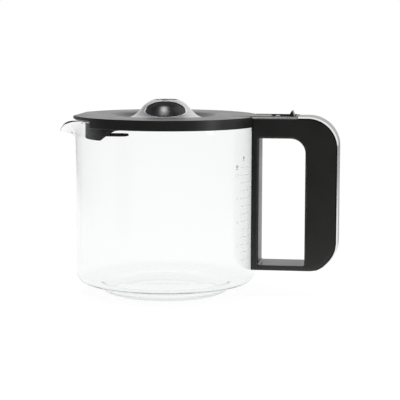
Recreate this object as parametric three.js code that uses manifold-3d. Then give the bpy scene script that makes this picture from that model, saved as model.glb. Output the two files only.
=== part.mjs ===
// Coffee carafe: a glass jug with a spout, a bonded handle with a silver trim, and a domed lid
// that a thumb lever in the handle's head tips open.
// Millimetres, +Z up. The origin is the middle of the jug's foot, +X runs to the handle
// and the spout lies at -X.

import * as THREE from 'three';
import { mergeVertices } from 'three/addons/utils/BufferGeometryUtils.js';
import Module from 'manifold-3d';

const wasm = await Module();
wasm.setup();

// Driving dimensions of the glass jug.
const BODY_RADIUS = 70;
const WALL = 2.2;
const RIM_HEIGHT = 136.2;
const SHOULDER_INSET = 2.4;
const SHOULDER_HEIGHT = 8;
const CORNER_RADIUS = 9;
const FOOT_HEIGHT = 9.5;
const FOOT_RADIUS = 38;
const FOOT_SPREAD = 14;
const FLOOR_THICKNESS = 3.2;
const FLOOR_CROWN = 2.2;
const FLOOR_SHARE = 0.75;

// The spout is the rim drawn out and turned down.
const SPOUT_REACH = 15.9;
const SPOUT_DROP = 10.6;
const SPOUT_DEPTH = 18.2;
const SPOUT_HALF_ANGLE = 30;

// Handle: a D-shaped loop with a wide grip, a thin spine along the glass and a head at the top.
const HANDLE_WIDTH = 34;
const HANDLE_REACH = 65.2;
const HEAD_RISE = 0.6;
const HANDLE_BOTTOM = 22;
const TOP_CORNER = 24;
const BOTTOM_CORNER = 22.5;
const HANDLE_EDGE = 0.7;
const SPINE_THICKNESS = 4.6;
const GRIP_THICKNESS = 24.2;
const BAR_HEIGHT = 4.6;
const HEAD_HEIGHT = 17.3;
const OPENING_CORNER = 11;
const GRIP_WALL = 3.5;
const SIDE_WALL = 4.1;

// Silver trim that closes the hollow grip.
const TRIM_THICKNESS = 1.5;
const TRIM_EDGE = 0.6;
const TRIM_TAIL_ANGLE = 12;

// Bond between the spine and the glass.
const BOND_THICKNESS = 1;
const BOND_WIDTH = 23;
const BOND_HEIGHT = 90;

// Hinge and thumb lever in the head.
const PIN_DIAMETER = 2.4;
const PIN_PLAY = 0.25;
const PIN_SEAT = 3;
const LID_PIN_OFFSET = 10.4;
const LID_PIN_DEPTH = 3.1;
const PIN_SPACING = 9.2;
const LEVER_PIN_DEPTH = 5.6;
const CHANNEL_DEPTH = 11.4;
const LEVER_REACH = 12;
const CHANNEL_WALL = 1.6;
const KNUCKLE_RADIUS = 2.8;
const LEVER_LUG_RADIUS = 2.6;
const NOSE_WIDTH = 10;
const NOSE_THICKNESS = 2.4;
const NOSE_SETBACK = 3;
const HOOK_THICKNESS = 1.2;
const LEVER_THICKNESS = 3.4;
const LEVER_GAP = 2.1;
const SCOOP_DEPTH = 1.9;
const FIN_HEIGHT = 2.9;
const FIN_WIDTH = 5.2;
const SCOOP_RUN = 1.5;
const SPRING_DIAMETER = 5;
const SPRING_WIRE = 0.7;
const SPRING_TURNS = 5;

// Lid.
const LID_OVERHANG = 1.7;
const LID_THICKNESS = 3.5;
const LID_EDGE = 2;
const DISH_RADIUS = 43;
const DISH_DEPTH = 3.5;
const DISH_FLOOR = 2.4;
const DISH_LIP = 3;
const DISH_FILLET = 1.5;
const DISH_MARGIN = 1;
const LIP_LENGTH = 4;
const LIP_DROP = 1.1;
const LID_NOTCH = 4.7;
const ARM_LENGTH = 20.7;
const ARM_RAMP = 1.5;
const SLOT_LENGTH = 1.2;
const SKIRT_CLEARANCE = 3;
const SKIRT_WALL = 2;
const SKIRT_HEIGHT = 5.2;
const LEDGE_THICKNESS = 1.6;
const LEDGE_CLEARANCE = 4;
const GUIDE_HEIGHT = 13.7;
const GUIDE_BOTTOM_WIDTH = 83;
const GUIDE_TOP_WIDTH = 108.4;
const BAFFLE_REACH = 31;
const BAFFLE_WIDTH = 13;
const BAFFLE_THICKNESS = 1;
const BAFFLE_RISE = 0.4;

// Dome in the middle of the lid.
const DOME_RADIUS = 30.5;
const DOME_HEIGHT = 15;
const DOME_WALL = 1.5;
const INLET_RADIUS = 9.4;
const WINDOW_WIDTH = 31.6;
const WINDOW_HEIGHT = 11.2;
const WINDOW_SILL = 2.4;
const WINDOW_CROWN = 0.66;
const WINDOW_TURN = 6;
const BELL_LIP = 0.6;
const BELL_RADII = [0.8, 0.655, 0.535, 0.42];
const BELL_HEIGHTS = [0.17, 0.43, 0.72, 0.9];
const CORE_WALL = 1.6;
const FUNNEL_RADIUS = 5.5;
const NECK_WALL = 2.2;
const NECK_DROP = 7;
const FUNNEL_STEP = 2;
const RING_HEIGHT = 2.4;
const RING_WIDTH = 3.6;

// Clearances between pieces.
const GAP = 0.3;
const SLIDE_GAP = 0.4;
const ROUND_STEPS = 72;
const DOME_STEPS = 48;
const OVERCUT = 1;

// Places that follow from the sizes above.
const LID_RADIUS = BODY_RADIUS + LID_OVERHANG;
const LID_UNDER = RIM_HEIGHT + GAP;
const LID_TOP = LID_UNDER + LID_THICKNESS;
const DISH_TOP = LID_TOP - DISH_DEPTH;
const DISH_UNDER = DISH_TOP - DISH_FLOOR;
const DOME_BASE = DISH_TOP + GAP;
const ARM_START = LID_RADIUS - ARM_LENGTH;
const SKIRT_RADIUS = BODY_RADIUS - SHOULDER_INSET - WALL - SKIRT_CLEARANCE;
const LEDGE_RADIUS = DISH_RADIUS + LEDGE_CLEARANCE;
const HANDLE_TOP = LID_TOP + HEAD_RISE;
const HANDLE_OUT = BODY_RADIUS + HANDLE_REACH;
const SPINE_FACE = BODY_RADIUS + SPINE_THICKNESS;
const CHANNEL_WIDTH = HANDLE_WIDTH - 2 * SIDE_WALL;
const ARM_WIDTH = CHANNEL_WIDTH - 2 * SLIDE_GAP;
const CHANNEL_FLOOR = HANDLE_TOP - CHANNEL_DEPTH;
const OPENING_TOP = HANDLE_TOP - HEAD_HEIGHT;
const OPENING_BOTTOM = HANDLE_BOTTOM + BAR_HEIGHT;
const OPENING_RIGHT = HANDLE_OUT - TRIM_THICKNESS - GAP - GRIP_THICKNESS;
const LID_PIN = new THREE.Vector2(BODY_RADIUS + LID_PIN_OFFSET, HANDLE_TOP - LID_PIN_DEPTH);
const LEVER_PIN = new THREE.Vector2(LID_PIN.x + PIN_SPACING, HANDLE_TOP - LEVER_PIN_DEPTH);
const CHANNEL_END = LEVER_PIN.x + LEVER_REACH;
const TRIM_START = CHANNEL_END + CHANNEL_WALL;
const TRIM_TAIL = THREE.MathUtils.degToRad(TRIM_TAIL_ANGLE - 90);
const LOW_CORNER = new THREE.Vector2(HANDLE_OUT - BOTTOM_CORNER, HANDLE_BOTTOM + BOTTOM_CORNER);
const PIN_HOLE = PIN_DIAMETER + 2 * PIN_PLAY;
const LEVER_LEFT = LID_PIN.x + KNUCKLE_RADIUS + LEVER_GAP;
const LEVER_UNDER = HANDLE_TOP - LEVER_THICKNESS - GAP;

// Merges shared corners, drops slivers at the poles and turns the faces outwards.
function weld(geometry) {
  const bare = geometry.clone();
  for (const name of Object.keys(bare.attributes)) {
    if (name !== 'position') bare.deleteAttribute(name);
  }
  const merged = mergeVertices(bare, 1e-4);
  const point = merged.attributes.position;
  const source = merged.index.array;
  const index = [];
  let volume = 0;
  const a = new THREE.Vector3();
  const b = new THREE.Vector3();
  const c = new THREE.Vector3();
  for (let i = 0; i < source.length; i += 3) {
    const [p, q, r] = [source[i], source[i + 1], source[i + 2]];
    if (p === q || q === r || r === p) continue;
    index.push(p, q, r);
    a.fromBufferAttribute(point, p);
    b.fromBufferAttribute(point, q);
    c.fromBufferAttribute(point, r);
    volume += a.dot(b.cross(c));
  }
  if (volume < 0) index.reverse();
  merged.setIndex(index);
  return merged;
}

function toSolid(geometry) {
  const closed = weld(geometry);
  const vertProperties = new Float32Array(closed.attributes.position.array);
  const triVerts = new Uint32Array(closed.index.array);
  return new wasm.Manifold(new wasm.Mesh({ numProp: 3, vertProperties, triVerts }));
}

function toGeometry(solid) {
  const mesh = solid.getMesh();
  const geometry = new THREE.BufferGeometry();
  geometry.setAttribute('position', new THREE.BufferAttribute(mesh.vertProperties, mesh.numProp));
  geometry.setIndex(new THREE.BufferAttribute(mesh.triVerts, 1));
  return geometry;
}

// A profile of (radius, height) points turned about Z.
function turned(profile, steps = ROUND_STEPS) {
  const points = profile.map(([r, z]) => new THREE.Vector2(r, z));
  return new THREE.LatheGeometry(points, steps).rotateX(Math.PI / 2);
}

// A closed ring: the profile ends where it starts.
function turnedRing(profile, steps = ROUND_STEPS) {
  return turned([...profile, profile[0]], steps);
}

// A shape drawn in X and Z, extruded along Y and centred on Y = 0.
function plate(shape, width, edge = 0, curveSegments = 8) {
  const geometry = new THREE.ExtrudeGeometry(shape, {
    depth: width - 2 * edge,
    bevelEnabled: edge > 0,
    bevelThickness: edge,
    bevelSize: edge,
    bevelOffset: -edge,
    bevelSegments: 1,
    curveSegments,
  });
  return geometry.translate(0, 0, edge - width / 2).rotateX(Math.PI / 2);
}

function box(low, high) {
  const size = high.map((value, axis) => value - low[axis]);
  const middle = high.map((value, axis) => (value + low[axis]) / 2);
  return new THREE.BoxGeometry(...size).translate(...middle);
}

// A round bar along Y through a point given in X and Z.
function crossBar(centre, diameter, length, steps = 20) {
  const bar = new THREE.CylinderGeometry(diameter / 2, diameter / 2, length, steps);
  return bar.translate(centre.x, 0, centre.y);
}

function upright(radius, low, high, steps = ROUND_STEPS) {
  return turned([[0, low], [radius, low], [radius, high], [0, high]], steps);
}

function outline(points) {
  return new THREE.Shape(points.map(([x, z]) => new THREE.Vector2(x, z)));
}

function arcPoints(x, y, radius, from, to, steps) {
  const points = [];
  for (let i = 0; i <= steps; i += 1) {
    const angle = THREE.MathUtils.degToRad(from + ((to - from) * i) / steps);
    points.push([x + radius * Math.cos(angle), y + radius * Math.sin(angle)]);
  }
  return points;
}

// Glass wall from the spout's root up to the rim: share runs from 0 at the root to 1 at the rim,
// pull from 0 on the plain rim to 1 in the middle of the spout.
function upperWall(share, pull) {
  const height = RIM_HEIGHT - SPOUT_DEPTH * (1 - share);
  const climb = Math.max(0, (height - (RIM_HEIGHT - SHOULDER_HEIGHT)) / SHOULDER_HEIGHT);
  const radius = BODY_RADIUS - SHOULDER_INSET * climb ** 2;
  const lift = Math.max(0, share);
  const drop = SPOUT_DROP * lift ** 1.75 * pull ** 2;
  return new THREE.Vector2(radius + SPOUT_REACH * lift ** 2 * pull, height - drop);
}

// The same wall's inner side, one wall thickness along the normal.
function innerWall(share, pull) {
  const step = 0.01;
  const below = upperWall(share - step, pull);
  const along = upperWall(share + step, pull).sub(below).normalize();
  return upperWall(share, pull).add(new THREE.Vector2(-along.y, along.x).multiplyScalar(WALL));
}

// Half section of the glass, from the foot's middle up the outside and down the inside.
function glassProfile(pull) {
  const upperSteps = 7;
  const cornerSteps = 4;
  const footSteps = 4;
  const cornerX = BODY_RADIUS - CORNER_RADIUS;
  const cornerZ = FOOT_HEIGHT + CORNER_RADIUS;
  const foot = [];
  for (let i = 0; i <= footSteps; i += 1) {
    const turn = (i / footSteps) * (Math.PI / 2);
    foot.push([FOOT_RADIUS + FOOT_SPREAD * Math.sin(turn), FOOT_HEIGHT * (1 - Math.cos(turn))]);
  }
  const corner = arcPoints(cornerX, cornerZ, CORNER_RADIUS, -90, 0, cornerSteps);
  const outside = [[0, 0], ...foot, ...corner];
  const innerCorner = CORNER_RADIUS - WALL;
  const inside = arcPoints(cornerX, cornerZ, innerCorner, 0, -90, cornerSteps);
  for (const [radius, height] of [...foot].reverse()) {
    const share = (radius - FOOT_RADIUS) / FOOT_SPREAD;
    inside.push([radius - WALL / 2, height + WALL * share + FLOOR_THICKNESS * (1 - share)]);
  }
  inside.push([FOOT_RADIUS / 2, FLOOR_THICKNESS + FLOOR_SHARE * FLOOR_CROWN]);
  inside.push([0, FLOOR_THICKNESS + FLOOR_CROWN]);
  const up = [];
  const down = [];
  for (let i = 0; i <= upperSteps; i += 1) {
    const outer = upperWall(i / upperSteps, pull);
    const inner = innerWall(i / upperSteps, pull);
    up.push([outer.x, outer.y]);
    down.unshift([inner.x, inner.y]);
  }
  return [...outside, ...up, ...down, ...inside];
}

function glassJug() {
  const coarse = 6;
  const fine = 3;
  const angles = [];
  for (let angle = 0; angle < 360 - 1e-6;) {
    angles.push(angle);
    angle += Math.abs(angle - 180) < SPOUT_HALF_ANGLE ? fine : coarse;
  }
  const position = [];
  const index = [];
  let count = 0;
  for (const angle of angles) {
    const away = Math.min(1, Math.abs(angle - 180) / SPOUT_HALF_ANGLE);
    const pull = Math.cos((away * Math.PI) / 2) ** 2;
    const profile = glassProfile(pull);
    count = profile.length;
    const turn = THREE.MathUtils.degToRad(angle);
    for (const [r, z] of profile) position.push(r * Math.cos(turn), r * Math.sin(turn), z);
  }
  for (let j = 0; j < angles.length; j += 1) {
    const next = (j + 1) % angles.length;
    for (let i = 0; i < count - 1; i += 1) {
      const [a, b] = [j * count + i, next * count + i];
      index.push(a, b, b + 1, a, b + 1, a + 1);
    }
  }
  const geometry = new THREE.BufferGeometry();
  geometry.setAttribute('position', new THREE.Float32BufferAttribute(position, 3));
  geometry.setIndex(index);
  return weld(geometry);
}

// Silicone bond: a slice of a thin sleeve around the glass.
function bondSleeve(inner, outer, width, height) {
  const middle = (OPENING_TOP + OPENING_BOTTOM) / 2;
  const low = middle - height / 2;
  const high = middle + height / 2;
  const sleeve = turnedRing([[inner, low], [outer, low], [outer, high], [inner, high]]);
  const slice = box([0, -width / 2, low - OVERCUT], [outer + OVERCUT, width / 2, high + OVERCUT]);
  return toSolid(sleeve).intersect(toSolid(slice));
}

function bondPad() {
  const inner = BODY_RADIUS + GAP;
  return toGeometry(bondSleeve(inner, inner + BOND_THICKNESS, BOND_WIDTH, BOND_HEIGHT));
}

// Outer edge of the handle, set in from the outermost surface, from the trim's lower end to its top.
function outerEdge(inset, tail, start, path) {
  const top = HANDLE_TOP - inset;
  const right = HANDLE_OUT - inset;
  const high = new THREE.Vector2(HANDLE_OUT - TOP_CORNER, HANDLE_TOP - TOP_CORNER);
  path.absarc(LOW_CORNER.x, LOW_CORNER.y, BOTTOM_CORNER - inset, tail, 0, false);
  path.lineTo(right, high.y);
  path.absarc(high.x, high.y, TOP_CORNER - inset, 0, Math.PI / 2, false);
  path.lineTo(start, top);
}

function handleOutline() {
  const left = BODY_RADIUS - WALL;
  const inset = TRIM_THICKNESS + GAP;
  const shape = new THREE.Shape();
  shape.moveTo(left, HANDLE_BOTTOM);
  shape.lineTo(LOW_CORNER.x, HANDLE_BOTTOM);
  const tail = new THREE.Vector2(Math.cos(TRIM_TAIL), Math.sin(TRIM_TAIL)).multiplyScalar(BOTTOM_CORNER);
  tail.add(LOW_CORNER);
  shape.lineTo(tail.x, tail.y);
  outerEdge(inset, TRIM_TAIL, TRIM_START, shape);
  shape.lineTo(TRIM_START, HANDLE_TOP);
  shape.lineTo(left, HANDLE_TOP);
  shape.closePath();
  const opening = new THREE.Path();
  opening.moveTo(SPINE_FACE, OPENING_BOTTOM);
  opening.lineTo(SPINE_FACE, OPENING_TOP);
  const centreX = OPENING_RIGHT - OPENING_CORNER;
  const centreZ = OPENING_TOP - OPENING_CORNER;
  opening.lineTo(centreX, OPENING_TOP);
  opening.absarc(centreX, centreZ, OPENING_CORNER, Math.PI / 2, 0, true);
  opening.lineTo(OPENING_RIGHT, OPENING_BOTTOM);
  opening.closePath();
  shape.holes.push(opening);
  return shape;
}

function handleBody() {
  const half = CHANNEL_WIDTH / 2;
  const beyond = HANDLE_OUT + GAP;
  const hollowHigh = HANDLE_TOP - TOP_CORNER;
  let solid = toSolid(plate(handleOutline(), HANDLE_WIDTH, HANDLE_EDGE));
  const seat = BODY_RADIUS + GAP;
  const glass = upright(seat + GAP, HANDLE_BOTTOM - OVERCUT, HANDLE_TOP + OVERCUT, 2 * ROUND_STEPS);
  solid = solid.subtract(toSolid(glass));
  const recess = seat + BOND_THICKNESS + GAP;
  solid = solid.subtract(bondSleeve(seat - OVERCUT, recess, BOND_WIDTH + 2 * GAP, BOND_HEIGHT + 2 * GAP));
  const channel = box([0, -half, CHANNEL_FLOOR], [CHANNEL_END, half, HANDLE_TOP + OVERCUT]);
  solid = solid.subtract(toSolid(channel));
  const hollow = box([OPENING_RIGHT + GRIP_WALL, -half, LOW_CORNER.y], [beyond, half, hollowHigh]);
  solid = solid.subtract(toSolid(hollow));
  const pinSpan = CHANNEL_WIDTH + 2 * (PIN_SEAT + GAP);
  for (const pin of [LID_PIN, LEVER_PIN]) {
    solid = solid.subtract(toSolid(crossBar(pin, PIN_HOLE, pinSpan)));
  }
  return toGeometry(solid);
}

// Silver strip over the grip's outer side, rounded along both edges.
function handleTrim() {
  const shape = new THREE.Shape();
  const inner = new THREE.Path();
  const tail = TRIM_TAIL + GAP / BOTTOM_CORNER;
  outerEdge(0, tail, TRIM_START + GAP, shape);
  outerEdge(TRIM_THICKNESS, tail, TRIM_START + GAP, inner);
  const back = inner.getPoints(8).reverse();
  for (const point of back) shape.lineTo(point.x, point.y);
  shape.closePath();
  return weld(plate(shape, HANDLE_WIDTH, TRIM_EDGE));
}

function pin(centre) {
  return weld(crossBar(centre, PIN_DIAMETER, CHANNEL_WIDTH + 2 * PIN_SEAT));
}

// Thumb lever: a scooped plate with a fin, a lug on the pin and a nose hooked up under the lid's arm.
function thumbLever() {
  const right = CHANNEL_END - 4 * GAP;
  const top = HANDLE_TOP - GAP;
  const scoop = top - SCOOP_DEPTH;
  const finFoot = right - FIN_WIDTH;
  const finTop = right - FIN_WIDTH / 2;
  const key = outline([
    [LEVER_LEFT, LEVER_UNDER], [right, LEVER_UNDER], [right, top - 2 * GAP],
    [finTop, HANDLE_TOP + FIN_HEIGHT], [finFoot, scoop + 2 * GAP], [finFoot - SCOOP_RUN, scoop],
    [LEVER_LEFT + SCOOP_RUN, top], [LEVER_LEFT, top - GAP],
  ]);
  let solid = toSolid(plate(key, ARM_WIDTH));
  const lugTop = LEVER_UNDER + GAP;
  const web = box([LEVER_PIN.x - LEVER_LUG_RADIUS, -ARM_WIDTH / 2, LEVER_PIN.y],
    [LEVER_PIN.x + LEVER_LUG_RADIUS, ARM_WIDTH / 2, lugTop]);
  solid = solid.add(toSolid(crossBar(LEVER_PIN, 2 * LEVER_LUG_RADIUS, ARM_WIDTH))).add(toSolid(web));
  const noseTip = LID_PIN.x - NOSE_SETBACK;
  const noseLow = CHANNEL_FLOOR + 2 * GAP;
  const noseHigh = noseLow + NOSE_THICKNESS;
  const armUnder = LID_UNDER - 2 * GAP;
  const hookLeft = noseTip - HOOK_THICKNESS;
  const nose = outline([
    [hookLeft, noseLow + 2 * GAP], [noseTip, noseLow], [LEVER_PIN.x, noseLow], [LEVER_PIN.x, LEVER_PIN.y],
    [LEVER_PIN.x - LEVER_LUG_RADIUS, LEVER_PIN.y], [LEVER_PIN.x - 2 * LEVER_LUG_RADIUS, noseHigh],
    [noseTip, noseHigh], [noseTip, armUnder], [hookLeft, armUnder],
  ]);
  solid = solid.add(toSolid(plate(nose, NOSE_WIDTH - 2 * SLIDE_GAP)));
  solid = solid.subtract(toSolid(crossBar(LEVER_PIN, PIN_HOLE, ARM_WIDTH + 2 * OVERCUT)));
  return toGeometry(solid);
}

// Return spring between the channel's floor and the lever.
function leverSpring() {
  const centreX = (LEVER_PIN.x + LEVER_LUG_RADIUS + CHANNEL_END) / 2;
  const radius = (SPRING_DIAMETER - SPRING_WIRE) / 2;
  const low = CHANNEL_FLOOR + GAP + SPRING_WIRE / 2;
  const high = LEVER_UNDER - GAP - SPRING_WIRE / 2;
  class Helix extends THREE.Curve {
    getPoint(t, target = new THREE.Vector3()) {
      const turn = 2 * Math.PI * SPRING_TURNS * t;
      return target.set(centreX + radius * Math.cos(turn), radius * Math.sin(turn), low + (high - low) * t);
    }
  }
  const wire = new THREE.Shape();
  wire.absarc(0, 0, SPRING_WIRE / 2, 0, 2 * Math.PI, false);
  const coil = new THREE.ExtrudeGeometry(wire, {
    steps: 10 * SPRING_TURNS, curveSegments: 3, bevelEnabled: false, extrudePath: new Helix(),
  });
  return weld(coil);
}

// Lid: a flanged disc with a dish around the dome, a thinner lip over the spout, and an arm that ends
// in two hinge knuckles.
function lidPlate() {
  const neck = FUNNEL_RADIUS + NECK_WALL + SLIDE_GAP;
  const floorRadius = DOME_RADIUS + DISH_MARGIN;
  const disc = turnedRing([
    [neck, DISH_UNDER], [floorRadius + DISH_MARGIN, DISH_UNDER], [DISH_RADIUS + DISH_MARGIN, LID_UNDER],
    [LID_RADIUS - LID_EDGE, LID_UNDER], [LID_RADIUS, LID_TOP - LID_EDGE],
    [LID_RADIUS, LID_TOP - GAP], [LID_RADIUS - GAP, LID_TOP],
    [DISH_RADIUS, LID_TOP + GAP], [DISH_RADIUS - DISH_LIP, LID_TOP - GAP],
    [floorRadius + DISH_FILLET, DISH_TOP + GAP], [floorRadius, DISH_TOP], [neck, DISH_TOP],
  ]);
  let solid = toSolid(disc);
  const clearX = LID_RADIUS - LID_NOTCH;
  const clearY = HANDLE_WIDTH / 2 + OVERCUT;
  const notchLow = [clearX, -clearY, LID_UNDER - OVERCUT];
  const notchHigh = [LID_RADIUS + OVERCUT, clearY, LID_TOP + OVERCUT];
  solid = solid.subtract(toSolid(box(notchLow, notchHigh)));
  const lipLow = [-LID_RADIUS - OVERCUT, -LID_RADIUS, LID_TOP - LIP_DROP];
  const lipHigh = [LIP_LENGTH - LID_RADIUS, LID_RADIUS, LID_TOP + OVERCUT];
  solid = solid.subtract(toSolid(box(lipLow, lipHigh)));
  const armTop = HANDLE_TOP - GAP;
  const armEnd = LID_PIN.x + KNUCKLE_RADIUS / 2;
  const arm = outline([
    [ARM_START, LID_UNDER], [LID_PIN.x, LID_UNDER], [armEnd, LID_PIN.y], [armEnd, armTop],
    [ARM_START + ARM_RAMP, armTop], [ARM_START, LID_TOP],
  ]);
  solid = solid.add(toSolid(plate(arm, ARM_WIDTH)));
  solid = solid.add(toSolid(crossBar(LID_PIN, 2 * KNUCKLE_RADIUS, ARM_WIDTH, 24)));
  const slotLeft = LID_PIN.x - KNUCKLE_RADIUS - SLOT_LENGTH;
  const slotStep = LID_PIN.x - KNUCKLE_RADIUS / 2;
  const slotRight = LID_PIN.x + 2 * KNUCKLE_RADIUS;
  const slotTop = LID_PIN.y + PIN_HOLE / 2;
  const slotLow = LID_PIN.y - 2 * KNUCKLE_RADIUS;
  const slot = outline([
    [slotLeft, LID_UNDER], [slotStep, LID_UNDER], [slotStep, slotTop],
    [slotRight, slotTop], [slotRight, slotLow], [slotLeft, slotLow],
  ]);
  solid = solid.subtract(toSolid(plate(slot, NOSE_WIDTH)));
  solid = solid.subtract(toSolid(crossBar(LID_PIN, PIN_HOLE, ARM_WIDTH + 2 * OVERCUT)));
  return toGeometry(solid);
}

// Skirt under the lid, with a deeper curved guide and a baffle on the spout's side.
function lidInsert() {
  const top = LID_UNDER - GAP;
  const skirtLow = top - SKIRT_HEIGHT;
  const guideLow = top - GUIDE_HEIGHT;
  const inner = SKIRT_RADIUS - SKIRT_WALL;
  const wall = turnedRing([[inner, guideLow], [SKIRT_RADIUS, guideLow], [SKIRT_RADIUS, top], [inner, top]]);
  const skirtSpace = box([-LID_RADIUS, -LID_RADIUS, skirtLow], [LID_RADIUS, LID_RADIUS, top + OVERCUT]);
  const guideSpace = new THREE.ExtrudeGeometry(outline([
    [-GUIDE_BOTTOM_WIDTH / 2, guideLow - OVERCUT], [GUIDE_BOTTOM_WIDTH / 2, guideLow - OVERCUT],
    [GUIDE_TOP_WIDTH / 2, skirtLow + OVERCUT], [-GUIDE_TOP_WIDTH / 2, skirtLow + OVERCUT],
  ]), { depth: SKIRT_RADIUS + OVERCUT, bevelEnabled: false });
  guideSpace.rotateX(Math.PI / 2).rotateZ(-Math.PI / 2);
  let solid = toSolid(wall).intersect(toSolid(skirtSpace).add(toSolid(guideSpace)));
  const ledgeLow = top - LEDGE_THICKNESS;
  const ledgeOut = inner + SKIRT_WALL / 2;
  const ledge = turnedRing([
    [LEDGE_RADIUS, ledgeLow], [ledgeOut, ledgeLow], [ledgeOut, top], [LEDGE_RADIUS, top],
  ]);
  solid = solid.add(toSolid(ledge));
  const baffleLow = guideLow + BAFFLE_RISE;
  const round = BAFFLE_WIDTH / 2;
  const tongue = new THREE.Shape();
  tongue.moveTo(-inner, -round);
  tongue.lineTo(-inner + BAFFLE_REACH - round, -round);
  tongue.absarc(-inner + BAFFLE_REACH - round, 0, round, -Math.PI / 2, Math.PI / 2, false);
  tongue.lineTo(-inner, round);
  tongue.closePath();
  const baffle = new THREE.ExtrudeGeometry(tongue, {
    depth: BAFFLE_THICKNESS, bevelEnabled: false, curveSegments: 6,
  });
  solid = solid.add(toSolid(baffle.translate(0, 0, baffleLow)));
  return toGeometry(solid);
}

// Bell curve of the dome: share 0 is the foot on the dish, share 1 the inlet's rim.
function bell(share, inset) {
  const knots = BELL_RADII.map((radius, i) => (
    new THREE.Vector2(radius * DOME_RADIUS, BELL_HEIGHTS[i] * DOME_HEIGHT)
  ));
  const foot = new THREE.Vector2(DOME_RADIUS, SLIDE_GAP);
  const lip = new THREE.Vector2(INLET_RADIUS + BELL_LIP, DOME_HEIGHT - BELL_LIP / 3);
  const flare = new THREE.SplineCurve([foot, ...knots, lip]);
  const along = flare.getTangent(share);
  const point = flare.getPoint(share);
  return [point.x - along.y * inset, DOME_BASE + point.y + along.x * inset];
}

function bellPoints(inset, from, to, steps) {
  const points = [];
  for (let i = 0; i <= steps; i += 1) points.push(bell(from + ((to - from) * i) / steps, inset));
  return points;
}

// The bell is drawn with the tangent pointing up and in, so an inset to its left lies inside.
function domeShell() {
  const top = DOME_BASE + DOME_HEIGHT;
  const outside = bellPoints(0, 0, 1, 10);
  const inside = bellPoints(DOME_WALL, 0.16, 0.98, 6).reverse();
  const foot = inside[inside.length - 1];
  const ring = turnedRing([
    [DOME_RADIUS, DOME_BASE], ...outside, [INLET_RADIUS, top], [INLET_RADIUS, top - DOME_WALL],
    ...inside, [foot[0], DOME_BASE],
  ], DOME_STEPS);
  const above = WINDOW_CROWN * WINDOW_HEIGHT;
  const below = WINDOW_HEIGHT - above;
  const middle = DOME_BASE + WINDOW_SILL + below;
  const oval = new THREE.Shape();
  oval.absellipse(0, middle, WINDOW_WIDTH / 2, above, 0, Math.PI, false);
  oval.absellipse(0, middle, WINDOW_WIDTH / 2, below, Math.PI, 2 * Math.PI, false);
  const reach = DOME_RADIUS + OVERCUT;
  const turn = THREE.MathUtils.degToRad(WINDOW_TURN);
  let solid = toSolid(ring);
  for (const side of [-1, 1]) {
    const window = plate(oval, reach, 0, 10).translate(0, (side * reach) / 2, 0).rotateZ(-side * turn);
    solid = solid.subtract(toSolid(window));
  }
  return toGeometry(solid);
}

// Black core that shows in the windows, with the inlet's funnel and a neck through the lid.
function domeCore() {
  const inset = DOME_WALL + GAP;
  const outside = bellPoints(inset, 0.2, 0.96, 8);
  const inside = bellPoints(inset + CORE_WALL, 0.22, 0.8, 4).reverse();
  const neckLow = DISH_UNDER - NECK_DROP;
  const neck = FUNNEL_RADIUS + NECK_WALL;
  const rim = outside[outside.length - 1];
  const shoulder = inside[0];
  const foot = inside[inside.length - 1];
  const ring = turnedRing([
    [outside[0][0], DOME_BASE], ...outside, [rim[0] - CORE_WALL, rim[1]],
    [FUNNEL_RADIUS, shoulder[1] - FUNNEL_STEP], [FUNNEL_RADIUS, neckLow], [neck, neckLow],
    [neck, shoulder[1] - CORE_WALL], ...inside, [foot[0], DOME_BASE],
  ], DOME_STEPS);
  return weld(ring);
}

// Push-on ring that holds the core's neck under the lid.
function neckRing() {
  const top = DISH_UNDER - GAP;
  const inner = FUNNEL_RADIUS + NECK_WALL + GAP;
  const outer = inner + RING_WIDTH;
  const low = top - RING_HEIGHT;
  return weld(turnedRing([[inner, low], [outer, low], [outer, top], [inner, top]], DOME_STEPS));
}

function material(color, roughness, metalness, opacity = 1) {
  return new THREE.MeshStandardMaterial({ color, roughness, metalness, opacity, transparent: opacity < 1 });
}

const carafe = new THREE.Group();

function place(name, geometry, finish) {
  const mesh = new THREE.Mesh(geometry, finish);
  mesh.name = name;
  carafe.add(mesh);
}

const BLACK = 0x2a2927;
const GLOSS_BLACK = 0x161616;
const SILVER = 0xb9babc;
const STEEL = 0x9a9ca0;
const CLEAR = 0xf2f5f4;
const SILICONE = 0x4a4a4a;

place('glass_jug', glassJug(), material(CLEAR, 0.02, 0, 0.3));
place('bond_pad', bondPad(), material(SILICONE, 0.8, 0));
place('handle_body', handleBody(), material(BLACK, 0.42, 0));
place('handle_trim', handleTrim(), material(SILVER, 0.28, 1));
place('lid_hinge_pin', pin(LID_PIN), material(STEEL, 0.3, 1));
place('lever_pin', pin(LEVER_PIN), material(STEEL, 0.3, 1));
place('lever_spring', leverSpring(), material(STEEL, 0.35, 1));
place('thumb_lever', thumbLever(), material(BLACK, 0.42, 0));
place('lid_plate', lidPlate(), material(BLACK, 0.4, 0));
place('lid_insert', lidInsert(), material(BLACK, 0.5, 0));
place('dome_shell', domeShell(), material(SILVER, 0.25, 1));
place('dome_core', domeCore(), material(GLOSS_BLACK, 0.12, 0));
place('neck_ring', neckRing(), material(BLACK, 0.5, 0));

export default carafe;
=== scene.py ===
import math

import bmesh
import bpy
from mathutils import Matrix, Vector
from mathutils.geometry import tessellate_polygon


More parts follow.
